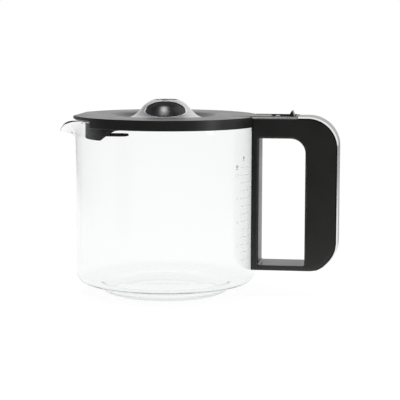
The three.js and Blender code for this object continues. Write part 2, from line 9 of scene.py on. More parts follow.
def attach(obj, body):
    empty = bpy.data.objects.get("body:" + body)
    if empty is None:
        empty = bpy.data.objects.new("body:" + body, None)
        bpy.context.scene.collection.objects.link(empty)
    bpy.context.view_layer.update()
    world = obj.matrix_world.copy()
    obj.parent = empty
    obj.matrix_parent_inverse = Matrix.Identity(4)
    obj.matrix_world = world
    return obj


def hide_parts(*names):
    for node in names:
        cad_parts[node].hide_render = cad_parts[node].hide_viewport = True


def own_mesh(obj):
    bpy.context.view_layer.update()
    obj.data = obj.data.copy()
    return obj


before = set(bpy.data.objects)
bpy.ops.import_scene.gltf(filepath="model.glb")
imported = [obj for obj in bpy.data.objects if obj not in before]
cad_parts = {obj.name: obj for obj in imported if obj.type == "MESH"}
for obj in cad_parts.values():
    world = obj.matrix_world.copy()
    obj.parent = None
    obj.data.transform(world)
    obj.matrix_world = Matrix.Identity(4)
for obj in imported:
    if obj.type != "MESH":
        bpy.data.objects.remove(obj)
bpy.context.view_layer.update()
scene = bpy.context.scene
scene.view_settings.view_transform = "Standard"


# Viewpoint: a long lens a little above the rim and a little towards the handle,
# fitted to the lid, foot and handle edges for a square frame.
MM = 0.001
VIEW_AZIMUTH = math.radians(7.3)
VIEW_ELEVATION = math.radians(6.8)
VIEW_ROLL = math.radians(0.2)
VIEW_DISTANCE = 1200 * MM
VIEW_TARGET = Vector((27, 0, 73.7)) * MM
LENS_LENGTH = 138.6
LENS_SENSOR = 36
LENS_REACH = 50


def add_object(name, data):
    made = bpy.data.objects.new(name, data)
    scene.collection.objects.link(made)
    return made


lens = bpy.data.cameras.new("viewpoint")
lens.lens = LENS_LENGTH
lens.sensor_width = LENS_SENSOR
lens.clip_end = LENS_REACH
swung = Matrix.Rotation(VIEW_AZIMUTH, 4, "Z")
tipped = Matrix.Rotation(math.pi / 2 - VIEW_ELEVATION, 4, "X")
tilted = Matrix.Rotation(VIEW_ROLL, 4, "Z")
set_back = Matrix.Translation((0, 0, VIEW_DISTANCE))
camera = add_object("viewpoint", lens)
camera.matrix_world = Matrix.Translation(VIEW_TARGET) @ swung @ tipped @ tilted @ set_back
scene.camera = camera


# Studio: a pale seamless floor in a white room, one softbox over the lid and a narrow one beside the
# grip. In mirror reflections the room is dark in front and overhead and dimmer on the spout's side,
# with a white panel high on the handle's side. The floor keeps the jug's shadow.
FLOOR_SIZE = 12
FLOOR_TONE = (0.09, 0.09, 0.09, 1)
FLOOR_GLOW = 0.95
WHITE = (1, 1, 1, 1)
ROOM_LIGHT = 0.62
ROOM_FRONT = 0.1
ROOM_TOP = 0.15
ROOM_LEFT = 0.35
FRONT_FADE = (-0.3, 0.3)
TOP_FADE = (0.58, 0.98)
LEFT_FADE = (-0.8, -0.2)
PANEL_ACROSS = (0.3, 0.5)
PANEL_UP = (0.45, 0.6)
TABLE_TONE = 0.3
TABLE_SIDE = 0.25
TABLE_FADE = (-0.57, -0.47)
TABLE_NEAR = (-0.32, -0.1)
TABLE_ASIDE = (0.35, 0.7)


def feed(tree, node, inputs):
    """Gives a node's inputs a value, or a link from a socket or from a node's first output."""
    for name, value in inputs.items():
        if isinstance(value, bpy.types.Node):
            value = value.outputs[0]
        if isinstance(value, bpy.types.NodeSocket):
            tree.links.new(value, node.inputs[name])
        else:
            node.inputs[name].default_value = value


def add_node(tree, kind, inputs=None, **settings):
    made = tree.nodes.new(kind)
    for name, value in settings.items():
        setattr(made, name, value)
    feed(tree, made, inputs or {})
    return made


def calc(tree, operation, *values):
    return add_node(tree, "ShaderNodeMath", dict(enumerate(values)), operation=operation)


def times(tree, first, *others):
    for other in others:
        first = calc(tree, "MULTIPLY", first, other)
    return first


def blend_values(tree, share, first, second):
    return add_node(tree, "ShaderNodeMix", {0: share, 2: first, 3: second})


def ramp(tree, value, fade, low, high):
    """Goes smoothly from low to high while the value goes through the fade."""
    limits = {0: value, 1: fade[0], 2: fade[1], 3: low, 4: high}
    return add_node(tree, "ShaderNodeMapRange", limits, interpolation_type="SMOOTHSTEP")


def split(tree, vector):
    return add_node(tree, "ShaderNodeSeparateXYZ", {0: vector}).outputs


room = bpy.data.worlds.new("white_room")
room.use_nodes = True
scene.world = room
tree = room.node_tree
tree.nodes.clear()
ray = add_node(tree, "ShaderNodeLightPath").outputs
way = split(tree, add_node(tree, "ShaderNodeTexCoord").outputs["Generated"])
wall = ramp(tree, way["Y"], FRONT_FADE, ROOM_FRONT, 1)
ceiling = ramp(tree, way["Z"], TOP_FADE, 1, ROOM_TOP)
far_left = ramp(tree, way["X"], LEFT_FADE, ROOM_LEFT, 1)
panel = times(tree, ramp(tree, way["X"], PANEL_ACROSS, 0, 1), ramp(tree, way["Z"], PANEL_UP, 0, 1))
mirrored = calc(tree, "MAXIMUM", times(tree, wall, ceiling, far_left), panel)
seen = calc(tree, "MAXIMUM", ray["Is Camera Ray"], ray["Is Transmission Ray"])
strength = blend_values(tree, ray["Is Glossy Ray"], ROOM_LIGHT, mirrored)
strength = blend_values(tree, seen, strength, 1)
glow = add_node(tree, "ShaderNodeBackground", {"Color": WHITE, "Strength": strength})
add_node(tree, "ShaderNodeOutputWorld", {"Surface": glow})

paper = bpy.data.materials.new("pale_floor")
paper.use_nodes = True
tree = paper.node_tree
tree.nodes.clear()
ray = add_node(tree, "ShaderNodeLightPath").outputs
place = split(tree, add_node(tree, "ShaderNodeNewGeometry").outputs["Position"])
# The floor glows: nearly white seen straight or through glass, over a faint shadow; seen in mirrors it is
# white near the jug and dims towards the front and the sides.
table = ramp(tree, place["Y"], TABLE_FADE, ROOM_FRONT, TABLE_TONE)
table = calc(tree, "MAXIMUM", table, ramp(tree, place["Y"], TABLE_NEAR, 0, 1))
aside = ramp(tree, calc(tree, "ABSOLUTE", place["X"]), TABLE_ASIDE, 1, TABLE_SIDE)
mirrored = times(tree, table, aside, ray["Is Glossy Ray"])
seen = calc(tree, "MAXIMUM", ray["Is Camera Ray"], ray["Is Transmission Ray"])
seen = calc(tree, "MAXIMUM", seen, mirrored)
matt = add_node(tree, "ShaderNodeBsdfDiffuse", {"Color": FLOOR_TONE})
glow = add_node(tree, "ShaderNodeEmission", {"Color": WHITE, "Strength": times(tree, seen, FLOOR_GLOW)})
both = add_node(tree, "ShaderNodeAddShader", {0: matt, 1: glow})
add_node(tree, "ShaderNodeOutputMaterial", {"Surface": both})

half = FLOOR_SIZE / 2
corners = [(-half, -half, 0), (half, -half, 0), (half, half, 0), (-half, half, 0)]
sheet = bpy.data.meshes.new("floor")
sheet.from_pydata(corners, [], [(0, 1, 2, 3)])
sheet.materials.append(paper)
floor = add_object("floor", sheet)


def softbox(name, place, aim, width, height, power):
    lamp = bpy.data.lights.new(name, "AREA")
    lamp.shape = "RECTANGLE"
    lamp.size = width
    lamp.size_y = height
    lamp.energy = power
    stand = add_object(name, lamp)
    stand.location = place
    stand.rotation_mode = "QUATERNION"
    stand.rotation_quaternion = (Vector(aim) - Vector(place)).to_track_quat("-Z", "Y")
    stand.visible_camera = False
    stand.visible_transmission = False


softbox("softbox_over_lid", place=(-0.08, -0.4, 1.3), aim=(0, 0, 0.1), width=0.36, height=0.5, power=10)
softbox("softbox_by_grip", place=(1.1, -0.5, 0.5), aim=(0.1, 0, 0.08), width=0.25, height=0.8, power=5)


# Glass jug: borosilicate glass blown into a mould, with a rounded foot, a short shoulder,
# a fire-polished rim and a spout drawn out by hand while the rim was hot.
BODY_RADIUS = 70
WALL = 2.2
RIM_HEIGHT = 136.2
SHOULDER_HEIGHT = 8
SHOULDER_INSET = 2.4
CORNER_RADIUS = 9
FOOT_RADIUS = 38
FOOT_SPREAD = 14
FOOT_HEIGHT = 9.5
FOOT_SWING = math.radians(64)
FOOT_BEND = 4.5
FOOT_SLOPE = math.radians(15)
FLOOR_THICKNESS = 3.2
FLOOR_CROWN = 1
SPOUT_REACH = 15.9
SPOUT_DROP = 10.6
SPOUT_DEPTH = 18.2
SPOUT_HALF_ANGLE = 30
SPOUT_FLARE = 2
SPOUT_CURL = 1.75
SPOUT_PINCH = 3.5
ROUND_STEPS = 240
JUG_WELD = 0.002
FOOT_STEPS = 12
BEND_STEPS = 10
CORNER_STEPS = 12
WALL_STEPS = 26
RIM_STEPS = 8
CROWN_STEPS = 7
PIECE_WELD = 0.0005
GLASS_IOR = 1.474
GLASS_TINT = (0.05, 0.16, 0.12, 1)
GLASS_DENSITY = 16
GLASS_SHINE = (0.2, 0.2, 0.2, 1)
WAVE_STRETCH = (1, 1, 0.35)
WAVE_SCALE = 32
WAVE_STRENGTH = 0.03
WAVE_HEIGHT = 0.4
LIGHT_PATHS = 32

scene.cycles.max_bounces = LIGHT_PATHS
scene.cycles.glossy_bounces = LIGHT_PATHS
scene.cycles.transmission_bounces = LIGHT_PATHS
glass = bpy.data.materials.new("clear_glass")
glass.use_nodes = True
tree = glass.node_tree
place = add_node(tree, "ShaderNodeTexCoord").outputs["Object"]
drawn = add_node(tree, "ShaderNodeMapping", {"Vector": place, "Scale": WAVE_STRETCH})
waves = add_node(tree, "ShaderNodeTexNoise", {"Vector": drawn, "Scale": WAVE_SCALE, "Detail": 1})
swell = add_node(tree, "ShaderNodeBump", {
    "Height": waves, "Strength": WAVE_STRENGTH, "Distance": WAVE_HEIGHT * MM,
})
feed(tree, tree.nodes["Principled BSDF"], {
    "Base Color": WHITE,
    "Roughness": 0,
    "IOR": GLASS_IOR,
    "Transmission Weight": 1,
    "Specular Tint": GLASS_SHINE,
    "Normal": swell,
})
depth = add_node(tree, "ShaderNodeVolumeAbsorption", {"Color": GLASS_TINT, "Density": GLASS_DENSITY})
feed(tree, tree.nodes["Material Output"], {"Volume": depth})


def arc(centre, radius, start, end, steps):
    """Points on an arc, in degrees, both ends included."""
    points = []
    for i in range(steps + 1):
        angle = math.radians(start + (end - start) * i / steps)
        points.append((centre[0] + radius * math.cos(angle), centre[1] + radius * math.sin(angle)))
    return points


def bend_between(start, corner, end, steps):
    """Points on a smooth bend that takes a corner's place, the start left out."""
    points = []
    for i in range(1, steps + 1):
        t = i / steps
        shares = ((1 - t) ** 2, 2 * t * (1 - t), t ** 2)
        points.append(tuple(sum(s * p[k] for s, p in zip(shares, (start, corner, end))) for k in (0, 1)))
    return points


def shoulder(height):
    climb = max(0, (height - RIM_HEIGHT + SHOULDER_HEIGHT) / SHOULDER_HEIGHT)
    return BODY_RADIUS - SHOULDER_INSET * climb ** 2


def half_section():
    """The glass from the middle of the foot up the outside and down the inside."""
    foot = []
    for i in range(FOOT_STEPS + 1):
        swing = FOOT_SWING * i / FOOT_STEPS
        rise = FOOT_HEIGHT * (1 - math.cos(swing))
        foot.append((FOOT_RADIUS + FOOT_SPREAD * math.sin(swing), rise))
    turn = (BODY_RADIUS - CORNER_RADIUS, FOOT_HEIGHT + CORNER_RADIUS)
    first = math.degrees(FOOT_SLOPE) - 90
    low_side = arc(turn, CORNER_RADIUS, first, 0, CORNER_STEPS)
    low_inside = arc(turn, CORNER_RADIUS - WALL, first, 0, CORNER_STEPS)
    edge = FOOT_RADIUS + FOOT_SPREAD + FOOT_BEND
    slant = math.tan(FOOT_SLOPE)
    start = foot[-1]
    end = (edge, low_side[0][1] - (low_side[0][0] - edge) * slant)
    steep = (start[1] - foot[-2][1]) / (start[0] - foot[-2][0])
    across = (end[1] - start[1] - (edge - start[0]) * slant) / (steep - slant)
    corner = (start[0] + across, start[1] + across * steep)
    foot += bend_between(start, corner, end, BEND_STEPS)
    inside = []
    for before, here, after in zip([(0, 0)] + foot, foot, foot[1:] + low_side):
        slope = math.atan2(after[1] - before[1], after[0] - before[0])
        share = min(1, (here[0] - FOOT_RADIUS) / FOOT_SPREAD)
        thick = FLOOR_THICKNESS + (WALL - FLOOR_THICKNESS) * share
        inside.append((here[0] - thick * math.sin(slope), here[1] + thick * math.cos(slope)))
    crown = []
    for i in range(CROWN_STEPS):
        radius = inside[0][0] * i / CROWN_STEPS
        fall = (radius / inside[0][0]) ** 2
        crown.append((radius, FLOOR_THICKNESS + FLOOR_CROWN * (1 - fall)))
    lip = WALL / 2
    root = RIM_HEIGHT - SPOUT_DEPTH
    heights = [root + (RIM_HEIGHT - lip - root) * i / WALL_STEPS for i in range(WALL_STEPS + 1)]
    outer = [(shoulder(z), z) for z in heights]
    inner = [(shoulder(z) - WALL, z) for z in heights]
    rim = arc((outer[-1][0] - lip, heights[-1]), lip, 0, 180, RIM_STEPS)
    up_side = [(0, 0), (FOOT_RADIUS / 2, 0)] + foot + low_side + outer[:-1]
    down_side = inner[-2::-1] + low_inside[::-1] + inside[::-1] + crown[::-1]
    return up_side + rim + down_side


def new_tree(name, values):
    """A geometry tree with an input for each named value, and those inputs."""
    kinds = {
        int: "Int",
        float: "Float",
        list: "Vector",
        bpy.types.Material: "Material",
        bpy.types.Object: "Object",
    }
    made = bpy.data.node_groups.new(name, "GeometryNodeTree")
    for side in ("INPUT", "OUTPUT"):
        made.interface.new_socket("Geometry", in_out=side, socket_type="NodeSocketGeometry")
    for label, value in values.items():
        made.interface.new_socket(label, in_out="INPUT", socket_type="NodeSocket" + kinds[type(value)])
    return made, made.nodes.new("NodeGroupInput").outputs


def position(tree):
    return add_node(tree, "GeometryNodeInputPosition")


def end_tree(tree, geometry, material, smooth=True):
    """Closes a tree with geometry that carries its material."""
    if smooth:
        geometry = add_node(tree, "GeometryNodeSetShadeSmooth", {0: geometry})
    dressed = add_node(tree, "GeometryNodeSetMaterial", {0: geometry, "Material": material})
    add_node(tree, "NodeGroupOutput", {0: dressed})


def round_axis(tree, radius, angle, height):
    """A place on a circle about the jug's axis."""
    return add_node(tree, "ShaderNodeCombineXYZ", {
        "X": times(tree, radius, calc(tree, "COSINE", angle)),
        "Y": times(tree, radius, calc(tree, "SINE", angle)),
        "Z": height,
    })


def grow(piece, tree, values):
    """Runs a geometry tree on a piece, with its inputs set, and keeps the plain mesh."""
    modifier = piece.modifiers.new(tree.name, "NODES")
    modifier.node_group = tree
    for item in tree.interface.items_tree:
        if item.in_out == "INPUT" and item.name in values:
            modifier[item.identifier] = values[item.name]
    settle(piece)


def settle(piece):
    """Turns a piece and its modifiers into one plain mesh."""
    graph = bpy.context.evaluated_depsgraph_get()
    mesh = bpy.data.meshes.new_from_object(piece.evaluated_get(graph))
    old = piece.data
    piece.modifiers.clear()
    piece.data = mesh
    mesh.name = piece.name
    bpy.data.meshes.remove(old)


def outline_piece(name, points, closed=False):
    """A line of points in metres, to be grown into a piece."""
    edges = [(i, i + 1) for i in range(len(points) - 1)]
    if closed:
        edges.append((len(points) - 1, 0))
    mesh = bpy.data.meshes.new(name)
    mesh.from_pydata(points, edges, [])
    return add_object(name, mesh)


def upright(points):
    """Points in X and Z, in metres."""
    return [(x * MM, 0, z * MM) for x, z in points]


def face_outwards(piece):
    work = bmesh.new()
    work.from_mesh(piece.data)
    bmesh.ops.remove_doubles(work, verts=work.verts, dist=PIECE_WELD * MM)
    bmesh.ops.recalc_face_normals(work, faces=work.faces)
    work.to_mesh(piece.data)
    work.free()


jug_values = {
    "Sections": ROUND_STEPS,
    "Rim Height": RIM_HEIGHT * MM,
    "Spout Depth": SPOUT_DEPTH * MM,
    "Spout Reach": SPOUT_REACH * MM,
    "Spout Drop": SPOUT_DROP * MM,
    "Spout Half Angle": math.radians(SPOUT_HALF_ANGLE),
    "Glass": glass,
}
blown, size = new_tree("blown_jug", jug_values)
count = add_node(blown, "GeometryNodeAttributeDomainSize", {0: size["Geometry"]})
around = calc(blown, "ADD", size["Sections"], 1)
grid = add_node(blown, "GeometryNodeMeshGrid", {"Vertices X": around, "Vertices Y": count})
index = add_node(blown, "GeometryNodeInputIndex")
section = calc(blown, "FLOOR", calc(blown, "DIVIDE", calc(blown, "ADD", index, 0.5), count))
point = add_node(blown, "GeometryNodeSampleIndex", {
    0: size["Geometry"],
    "Value": position(blown),
    "Index": calc(blown, "SUBTRACT", index, times(blown, section, count)),
}, data_type="FLOAT_VECTOR")
flat = split(blown, point)
angle = times(blown, calc(blown, "DIVIDE", section, size["Sections"]), 2 * math.pi)
away = calc(blown, "ABSOLUTE", calc(blown, "SUBTRACT", angle, math.pi))
away = calc(blown, "MINIMUM", calc(blown, "DIVIDE", away, size["Spout Half Angle"]), 1)
pull = calc(blown, "POWER", calc(blown, "COSINE", times(blown, away, math.pi / 2)), 2)
root = calc(blown, "SUBTRACT", size["Rim Height"], size["Spout Depth"])
lift = calc(blown, "DIVIDE", calc(blown, "SUBTRACT", flat["Z"], root), size["Spout Depth"])
lift = calc(blown, "MAXIMUM", lift, 0)
flare = calc(blown, "POWER", lift, SPOUT_FLARE)
radius = calc(blown, "ADD", flat["X"], times(blown, flare, pull, size["Spout Reach"]))
curl = calc(blown, "POWER", lift, SPOUT_CURL)
drop = times(blown, curl, calc(blown, "POWER", pull, SPOUT_PINCH), size["Spout Drop"])
height = calc(blown, "SUBTRACT", flat["Z"], drop)
turned = add_node(blown, "GeometryNodeSetPosition", {
    0: grid, "Position": round_axis(blown, radius, angle, height),
})
welded = add_node(blown, "GeometryNodeMergeByDistance", {0: turned, "Distance": JUG_WELD * MM})
end_tree(blown, welded, size["Glass"])

jug = outline_piece("jug_glass", upright(half_section()))
grow(jug, blown, jug_values)
face_outwards(jug)
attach(jug, "jug")
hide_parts("glass_jug")


# Printed scale: thin pale fired ink on the outside of the glass beside the handle, thirteen strokes
# with plain numbers by every third one, and two small cups above it in a darker ink.
INK_TONE = (0.8, 0.8, 0.8)
INK_WORN = (0.86, 0.86, 0.86)
INK_COVER = 0.3
INK_INNER = 0.02
INK_THICKNESS = 0.05
INK_RADIUS = BODY_RADIUS + INK_INNER + INK_THICKNESS / 2
CUP_TONE = (0.2, 0.2, 0.2)
CUP_WORN = (0.26, 0.26, 0.26)
CUP_PLACES = ((31.6, 103.1), (24.4, 109.2))
STROKE_COUNT = 13
STROKE_FIRST = 32.1
STROKE_PITCH = 5.89
STROKE_HEIGHT = 0.38
STROKE_FROM = 15.5
STROKE_TO = 28
STROKE_BENDS = 20
NUMBERED = (3, 6, 9, 12)
NUMBER_ANGLE = 31.2
NUMBER_SIZE = 3.9
PATCH_SCALE = 45
PATCH_FADE = (0.32, 0.68)
PATCH_SHARE = 0.6
GRAIN_SHARE = 0.4
GRAIN_DEPTH = 0.1

surface = bpy.data.node_groups.new("moulded_surface", "ShaderNodeTree")
for label, side, kind in (
    ("Place", "INPUT", "Vector"), ("Grain Scale", "INPUT", "Float"), ("Patch Scale", "INPUT", "Float"),
    ("Tone", "INPUT", "Color"), ("Worn Tone", "INPUT", "Color"), ("Roughness", "INPUT", "Float"),
    ("Spread", "INPUT", "Float"),
    ("Colour", "OUTPUT", "Color"), ("Roughness", "OUTPUT", "Float"), ("Height", "OUTPUT", "Float"),
):
    surface.interface.new_socket(label, in_out=side, socket_type="NodeSocket" + kind)
given = surface.nodes.new("NodeGroupInput").outputs
grain = add_node(surface, "ShaderNodeTexNoise", {
    "Vector": given["Place"], "Scale": given["Grain Scale"], "Detail": 3, "Roughness": 0.6,
})
patch = add_node(surface, "ShaderNodeTexNoise", {
    "Vector": given["Place"], "Scale": given["Patch Scale"], "Detail": 2, "Roughness": 0.5,
})
worn = ramp(surface, patch, PATCH_FADE, 0, 1)
colour = add_node(surface, "ShaderNodeMix", {
    0: worn, 6: given["Tone"], 7: given["Worn Tone"],
}, data_type="RGBA")
drift = calc(surface, "SUBTRACT", times(surface, worn, PATCH_SHARE), 0.5)
drift = calc(surface, "MULTIPLY_ADD", grain, GRAIN_SHARE, drift)
rough = calc(surface, "MULTIPLY_ADD", drift, given["Spread"], given["Roughness"])
add_node(surface, "NodeGroupOutput", {"Colour": colour.outputs[2], "Roughness": rough, "Height": grain})


def finish(name, tone, worn_tone, rough, spread, grain, bump, stretch=(1, 1, 1), strip=None, extra=None):
    """A material with grain and slow patches over its tone; stretch draws the grain out into lines."""
    material = bpy.data.materials.new(name)
    material.use_nodes = True
    tree = material.node_tree
    if strip:
        place = add_node(tree, "ShaderNodeAttribute", attribute_name=strip).outputs["Vector"]
    else:
        place = add_node(tree, "ShaderNodeTexCoord").outputs["Object"]
    look = add_node(tree, "ShaderNodeGroup", {
        "Place": add_node(tree, "ShaderNodeMapping", {"Vector": place, "Scale": stretch}),
        "Grain Scale": grain,
        "Patch Scale": PATCH_SCALE,
        "Tone": (*tone, 1),
        "Worn Tone": (*worn_tone, 1),
        "Roughness": rough,
        "Spread": spread,
    }, node_tree=surface).outputs
    relief = add_node(tree, "ShaderNodeBump", {
        "Height": look["Height"], "Strength": bump, "Distance": GRAIN_DEPTH * MM,
    })
    feed(tree, tree.nodes["Principled BSDF"], {
        "Base Color": look["Colour"], "Roughness": look["Roughness"], "Normal": relief, **(extra or {}),
    })
    return material


cover = {"Alpha": INK_COVER}
ink = finish("scale_ink", INK_TONE, INK_WORN, rough=0.6, spread=0.1, grain=2500, bump=0.1, extra=cover)
cup_ink = finish("cup_ink", CUP_TONE, CUP_WORN, rough=0.6, spread=0.1, grain=2500, bump=0.1, extra=cover)

scale_values = {
    "Count": STROKE_COUNT,
    "First": STROKE_FIRST * MM,
    "Pitch": STROKE_PITCH * MM,
    "Length": math.radians(STROKE_TO - STROKE_FROM) * BODY_RADIUS * MM,
    "Height": STROKE_HEIGHT * MM,
    "Thickness": INK_THICKNESS * MM,
    "Angle": math.radians(-(STROKE_FROM + STROKE_TO) / 2),
    "Radius": INK_RADIUS * MM,
    "Ink": ink,
}
ruled, size = new_tree("ruled_scale", scale_values)
bar = add_node(ruled, "GeometryNodeMeshCube", {
    "Size": add_node(ruled, "ShaderNodeCombineXYZ", {
        "X": size["Thickness"], "Y": size["Length"], "Z": size["Height"],
    }),
    "Vertices Y": STROKE_BENDS,
})
climb = add_node(ruled, "GeometryNodeMeshLine", {
    "Count": size["Count"],
    "Start Location": add_node(ruled, "ShaderNodeCombineXYZ", {"Z": size["First"]}),
    "Offset": add_node(ruled, "ShaderNodeCombineXYZ", {"Z": size["Pitch"]}),
})
copies = add_node(ruled, "GeometryNodeInstanceOnPoints", {"Points": climb, "Instance": bar})
plain = add_node(ruled, "GeometryNodeRealizeInstances", {0: copies})
flat = split(ruled, position(ruled))
radius = calc(ruled, "ADD", size["Radius"], flat["X"])
angle = calc(ruled, "ADD", size["Angle"], calc(ruled, "DIVIDE", flat["Y"], size["Radius"]))
wrapped = add_node(ruled, "GeometryNodeSetPosition", {
    0: plain, "Position": round_axis(ruled, radius, angle, flat["Z"]),
})
end_tree(ruled, wrapped, size["Ink"], smooth=False)

strokes = outline_piece("scale_strokes", upright([(0, 0), (1, 0)]))
grow(strokes, ruled, scale_values)
face_outwards(strokes)
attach(strokes, "jug")


def wrap_print(name, mesh, angle, height, material):
    """Bends a flat mark round the glass and fixes it there."""
    for vertex in mesh.vertices:
        across, along, out = vertex.co
        radius = INK_RADIUS * MM + out
        swing = math.radians(-angle) + across / (BODY_RADIUS * MM)
        vertex.co = (radius * math.cos(swing), radius * math.sin(swing), height * MM + along)
    mesh.materials.clear()
    mesh.materials.append(material)
    mark = add_object(name, mesh)
    face_outwards(mark)
    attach(mark, "jug")


for stroke in NUMBERED:
    letters = bpy.data.curves.new(f"scale_number_{stroke}", "FONT")
    letters.body = str(stroke)
    letters.size = NUMBER_SIZE * MM
    letters.extrude = INK_THICKNESS / 2 * MM
    letters.align_x = "CENTER"
    letters.align_y = "CENTER"
    text = add_object(letters.name, letters)
    graph = bpy.context.evaluated_depsgraph_get()
    mesh = bpy.data.meshes.new_from_object(text.evaluated_get(graph))
    bpy.data.objects.remove(text)
    wrap_print(letters.name, mesh, NUMBER_ANGLE, STROKE_FIRST + STROKE_PITCH * (stroke - 1), ink)


def loft(ring_count, size, first=0, closed=True):
    """Faces between neighbouring rings of points, each ring closed on itself."""
    faces = []
    pairs = ring_count if closed else ring_count - 1
    for i in range(pairs):
        here = first + i * size
        there = first + (i + 1) % ring_count * size
        for j in range(size):
            k = (j + 1) % size
            faces.append((here + j, here + k, there + k, there + j))
    return faces


def capped(ring_count, size, first=0):
    """Faces of a stack of rings with a face on each end."""
    last = first + (ring_count - 1) * size
    ends = [tuple(range(first, first + size)), tuple(range(last, last + size))]
    return ends + loft(ring_count, size, first, closed=False)


def flat_mark(name, outlines):
    """Thin plates of ink, each a closed outline in millimetres."""
    half = INK_THICKNESS / 2
    vertices = []
    faces = []
    for outline in outlines:
        faces += capped(2, len(outline), len(vertices))
        vertices += [(a * MM, b * MM, level * MM) for level in (-half, half) for a, b in outline]
    mesh = bpy.data.meshes.new(name)
    mesh.from_pydata(vertices, [], faces)
    return mesh


cup_bowl = [(-1.3, 1.7), (1.3, 1.7)] + arc((0, 0.3), 1.1, -10, -170, 12)
cup_saucer = [(-1.7, -1.2), (1.7, -1.2), (1.3, -1.7), (-1.3, -1.7)]
cup_ear = arc((1.25, 0.7), 0.8, 100, -80, 8) + arc((1.25, 0.7), 0.4, -80, 100, 8)
for i, (angle, height) in enumerate(CUP_PLACES):
    name = f"scale_cup_{i + 1}"
    wrap_print(name, flat_mark(name, (cup_bowl, cup_saucer, cup_ear)), angle, height, cup_ink)


# Bond pad: a cast strip of dark silicone that glues the handle's spine to the round glass.
# It lies hidden in a recess of the spine and shows only from inside the jug.
BOND_WIDTH = 23
BOND_HEIGHT = 90
BOND_MIDDLE = 74.95
BOND_INNER = 70.3
BOND_OUTER = 71.3
BOND_CORNER = 4
BOND_EDGE = 0.3
BOND_SLICES = 28
SILICONE = (0.045, 0.045, 0.046)
SILICONE_WORN = (0.075, 0.075, 0.076)

silicone = finish("matt_silicone", SILICONE, SILICONE_WORN, rough=0.62, spread=0.14, grain=900, bump=0.25)


def new_piece(name, vertices, faces, material):
    """An object of millimetre points, welded, closed and facing outwards."""
    mesh = bpy.data.meshes.new(name)
    mesh.from_pydata([Vector(vertex) * MM for vertex in vertices], [], faces)
    mesh.materials.append(material)
    piece = add_object(name, mesh)
    face_outwards(piece)
    return piece


def soften(piece, angle=35):
    """Smooth shading with true edges kept, and large flat faces kept flat."""
    piece.data.shade_smooth()
    piece.data.set_sharp_from_angle(angle=math.radians(angle))
    even = piece.modifiers.new("even", "WEIGHTED_NORMAL")
    even.keep_sharp = True
    settle(piece)


def bond_strip():
    """Upright slices across the strip, each a closed ring with eased edges."""
    inner = BOND_INNER + BOND_EDGE
    outer = BOND_OUTER - BOND_EDGE
    vertices = []
    for i in range(BOND_SLICES + 1):
        across = BOND_WIDTH * (i / BOND_SLICES - 0.5)
        beyond = max(0, abs(across) - (BOND_WIDTH / 2 - BOND_CORNER))
        tall = BOND_HEIGHT / 2 - BOND_CORNER + math.sqrt(max(0.01, BOND_CORNER ** 2 - beyond ** 2))
        eased = 0 if i in (0, BOND_SLICES) else BOND_EDGE
        side = tall - BOND_EDGE
        upper = [(inner - eased, side), (inner, tall), (outer, tall), (outer + eased, side)]
        ring = upper + [(radius, -height) for radius, height in reversed(upper)]
        swing = across / BOND_INNER
        for radius, height in ring:
            vertices.append((radius * math.cos(swing), radius * math.sin(swing), BOND_MIDDLE + height))
    return vertices, capped(BOND_SLICES + 1, len(ring))


bond = new_piece("bond_strip", *bond_strip(), silicone)
soften(bond)
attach(bond, "jug")
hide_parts("bond_pad")


# Handle: one black moulding of satin plastic, spine, head, grip and bar, with a shallow border
# round its faces, a rounded finger opening, a hollow grip and a channel for the hinge in its head.
HANDLE_WIDTH = 34
HANDLE_LEFT = 67.8
HANDLE_OUT = 135.2
HANDLE_TOP = 140.6
HANDLE_BOTTOM = 22
BOTTOM_CORNER = 22.5
BOTTOM_STEPS = 30
TOP_CORNER = 24
TOP_STEPS = 18
LOW_TURN = (HANDLE_OUT - BOTTOM_CORNER, HANDLE_BOTTOM + BOTTOM_CORNER)
HIGH_TURN = (HANDLE_OUT - TOP_CORNER, HANDLE_TOP - TOP_CORNER)
TRIM_START = 103.2
TRIM_SEAT = 1.8
TAIL_END = -78
TAIL_FULL = -42
OPENING_LEFT = 74.6
OPENING_RIGHT = 109.2
OPENING_LOW = 26.6
OPENING_HIGH = 123.3
OPENING_CORNER = 11
OPENING_STEPS = 12
GLASS_GAP = 0.6
BOND_GAP = 0.3
BOND_STEPS = 16
CHANNEL_END = 101.6
CHANNEL_HALF = 12.9
CHANNEL_FLOOR = 129.2
CHANNEL_CORNER = 1.2
HOLLOW_LEFT = 112.7
HOLLOW_LOW = 44.5
HOLLOW_HIGH = 116.6
HOLLOW_CORNER = 2
LID_PIN = (80.4, 137.5)
LEVER_PIN = (89.6, 135.0)
PIN_HOLE = 2.9
PIN_HOLE_LENGTH = 32.4
BAR_STEPS = 48
# Well clear of every piece, for the open ends of cuts
FAR = 160
BLACK = (0.0115, 0.0110, 0.0103)
BLACK_WORN = (0.0140, 0.0135, 0.0127)
# left, bottom, right, top, depth below the face
HANDLE_EDGE = (
    (2.4, 2.2, 4.0, 6.0, 0.0),
    (0.9, 0.9, 0.9, 2.6, 0.32),
    (0.5, 0.5, 0.5, 2.1, 0.42),
    (0.12, 0.12, 0.12, 0.75, 1.15),
    (0.0, 0.0, 0.0, 0.0, 2.2),
)
# round, along the bar, depth below the face
OPENING_EDGE = ((1.8, 0.9, 0.0), (1.0, 0.55, 0.5), (0.4, 0.4, 1.4), (0.0, 0.0, 12))

black_plastic = finish("satin_black", BLACK, BLACK_WORN, rough=0.34, spread=0.08, grain=1400, bump=0.1)


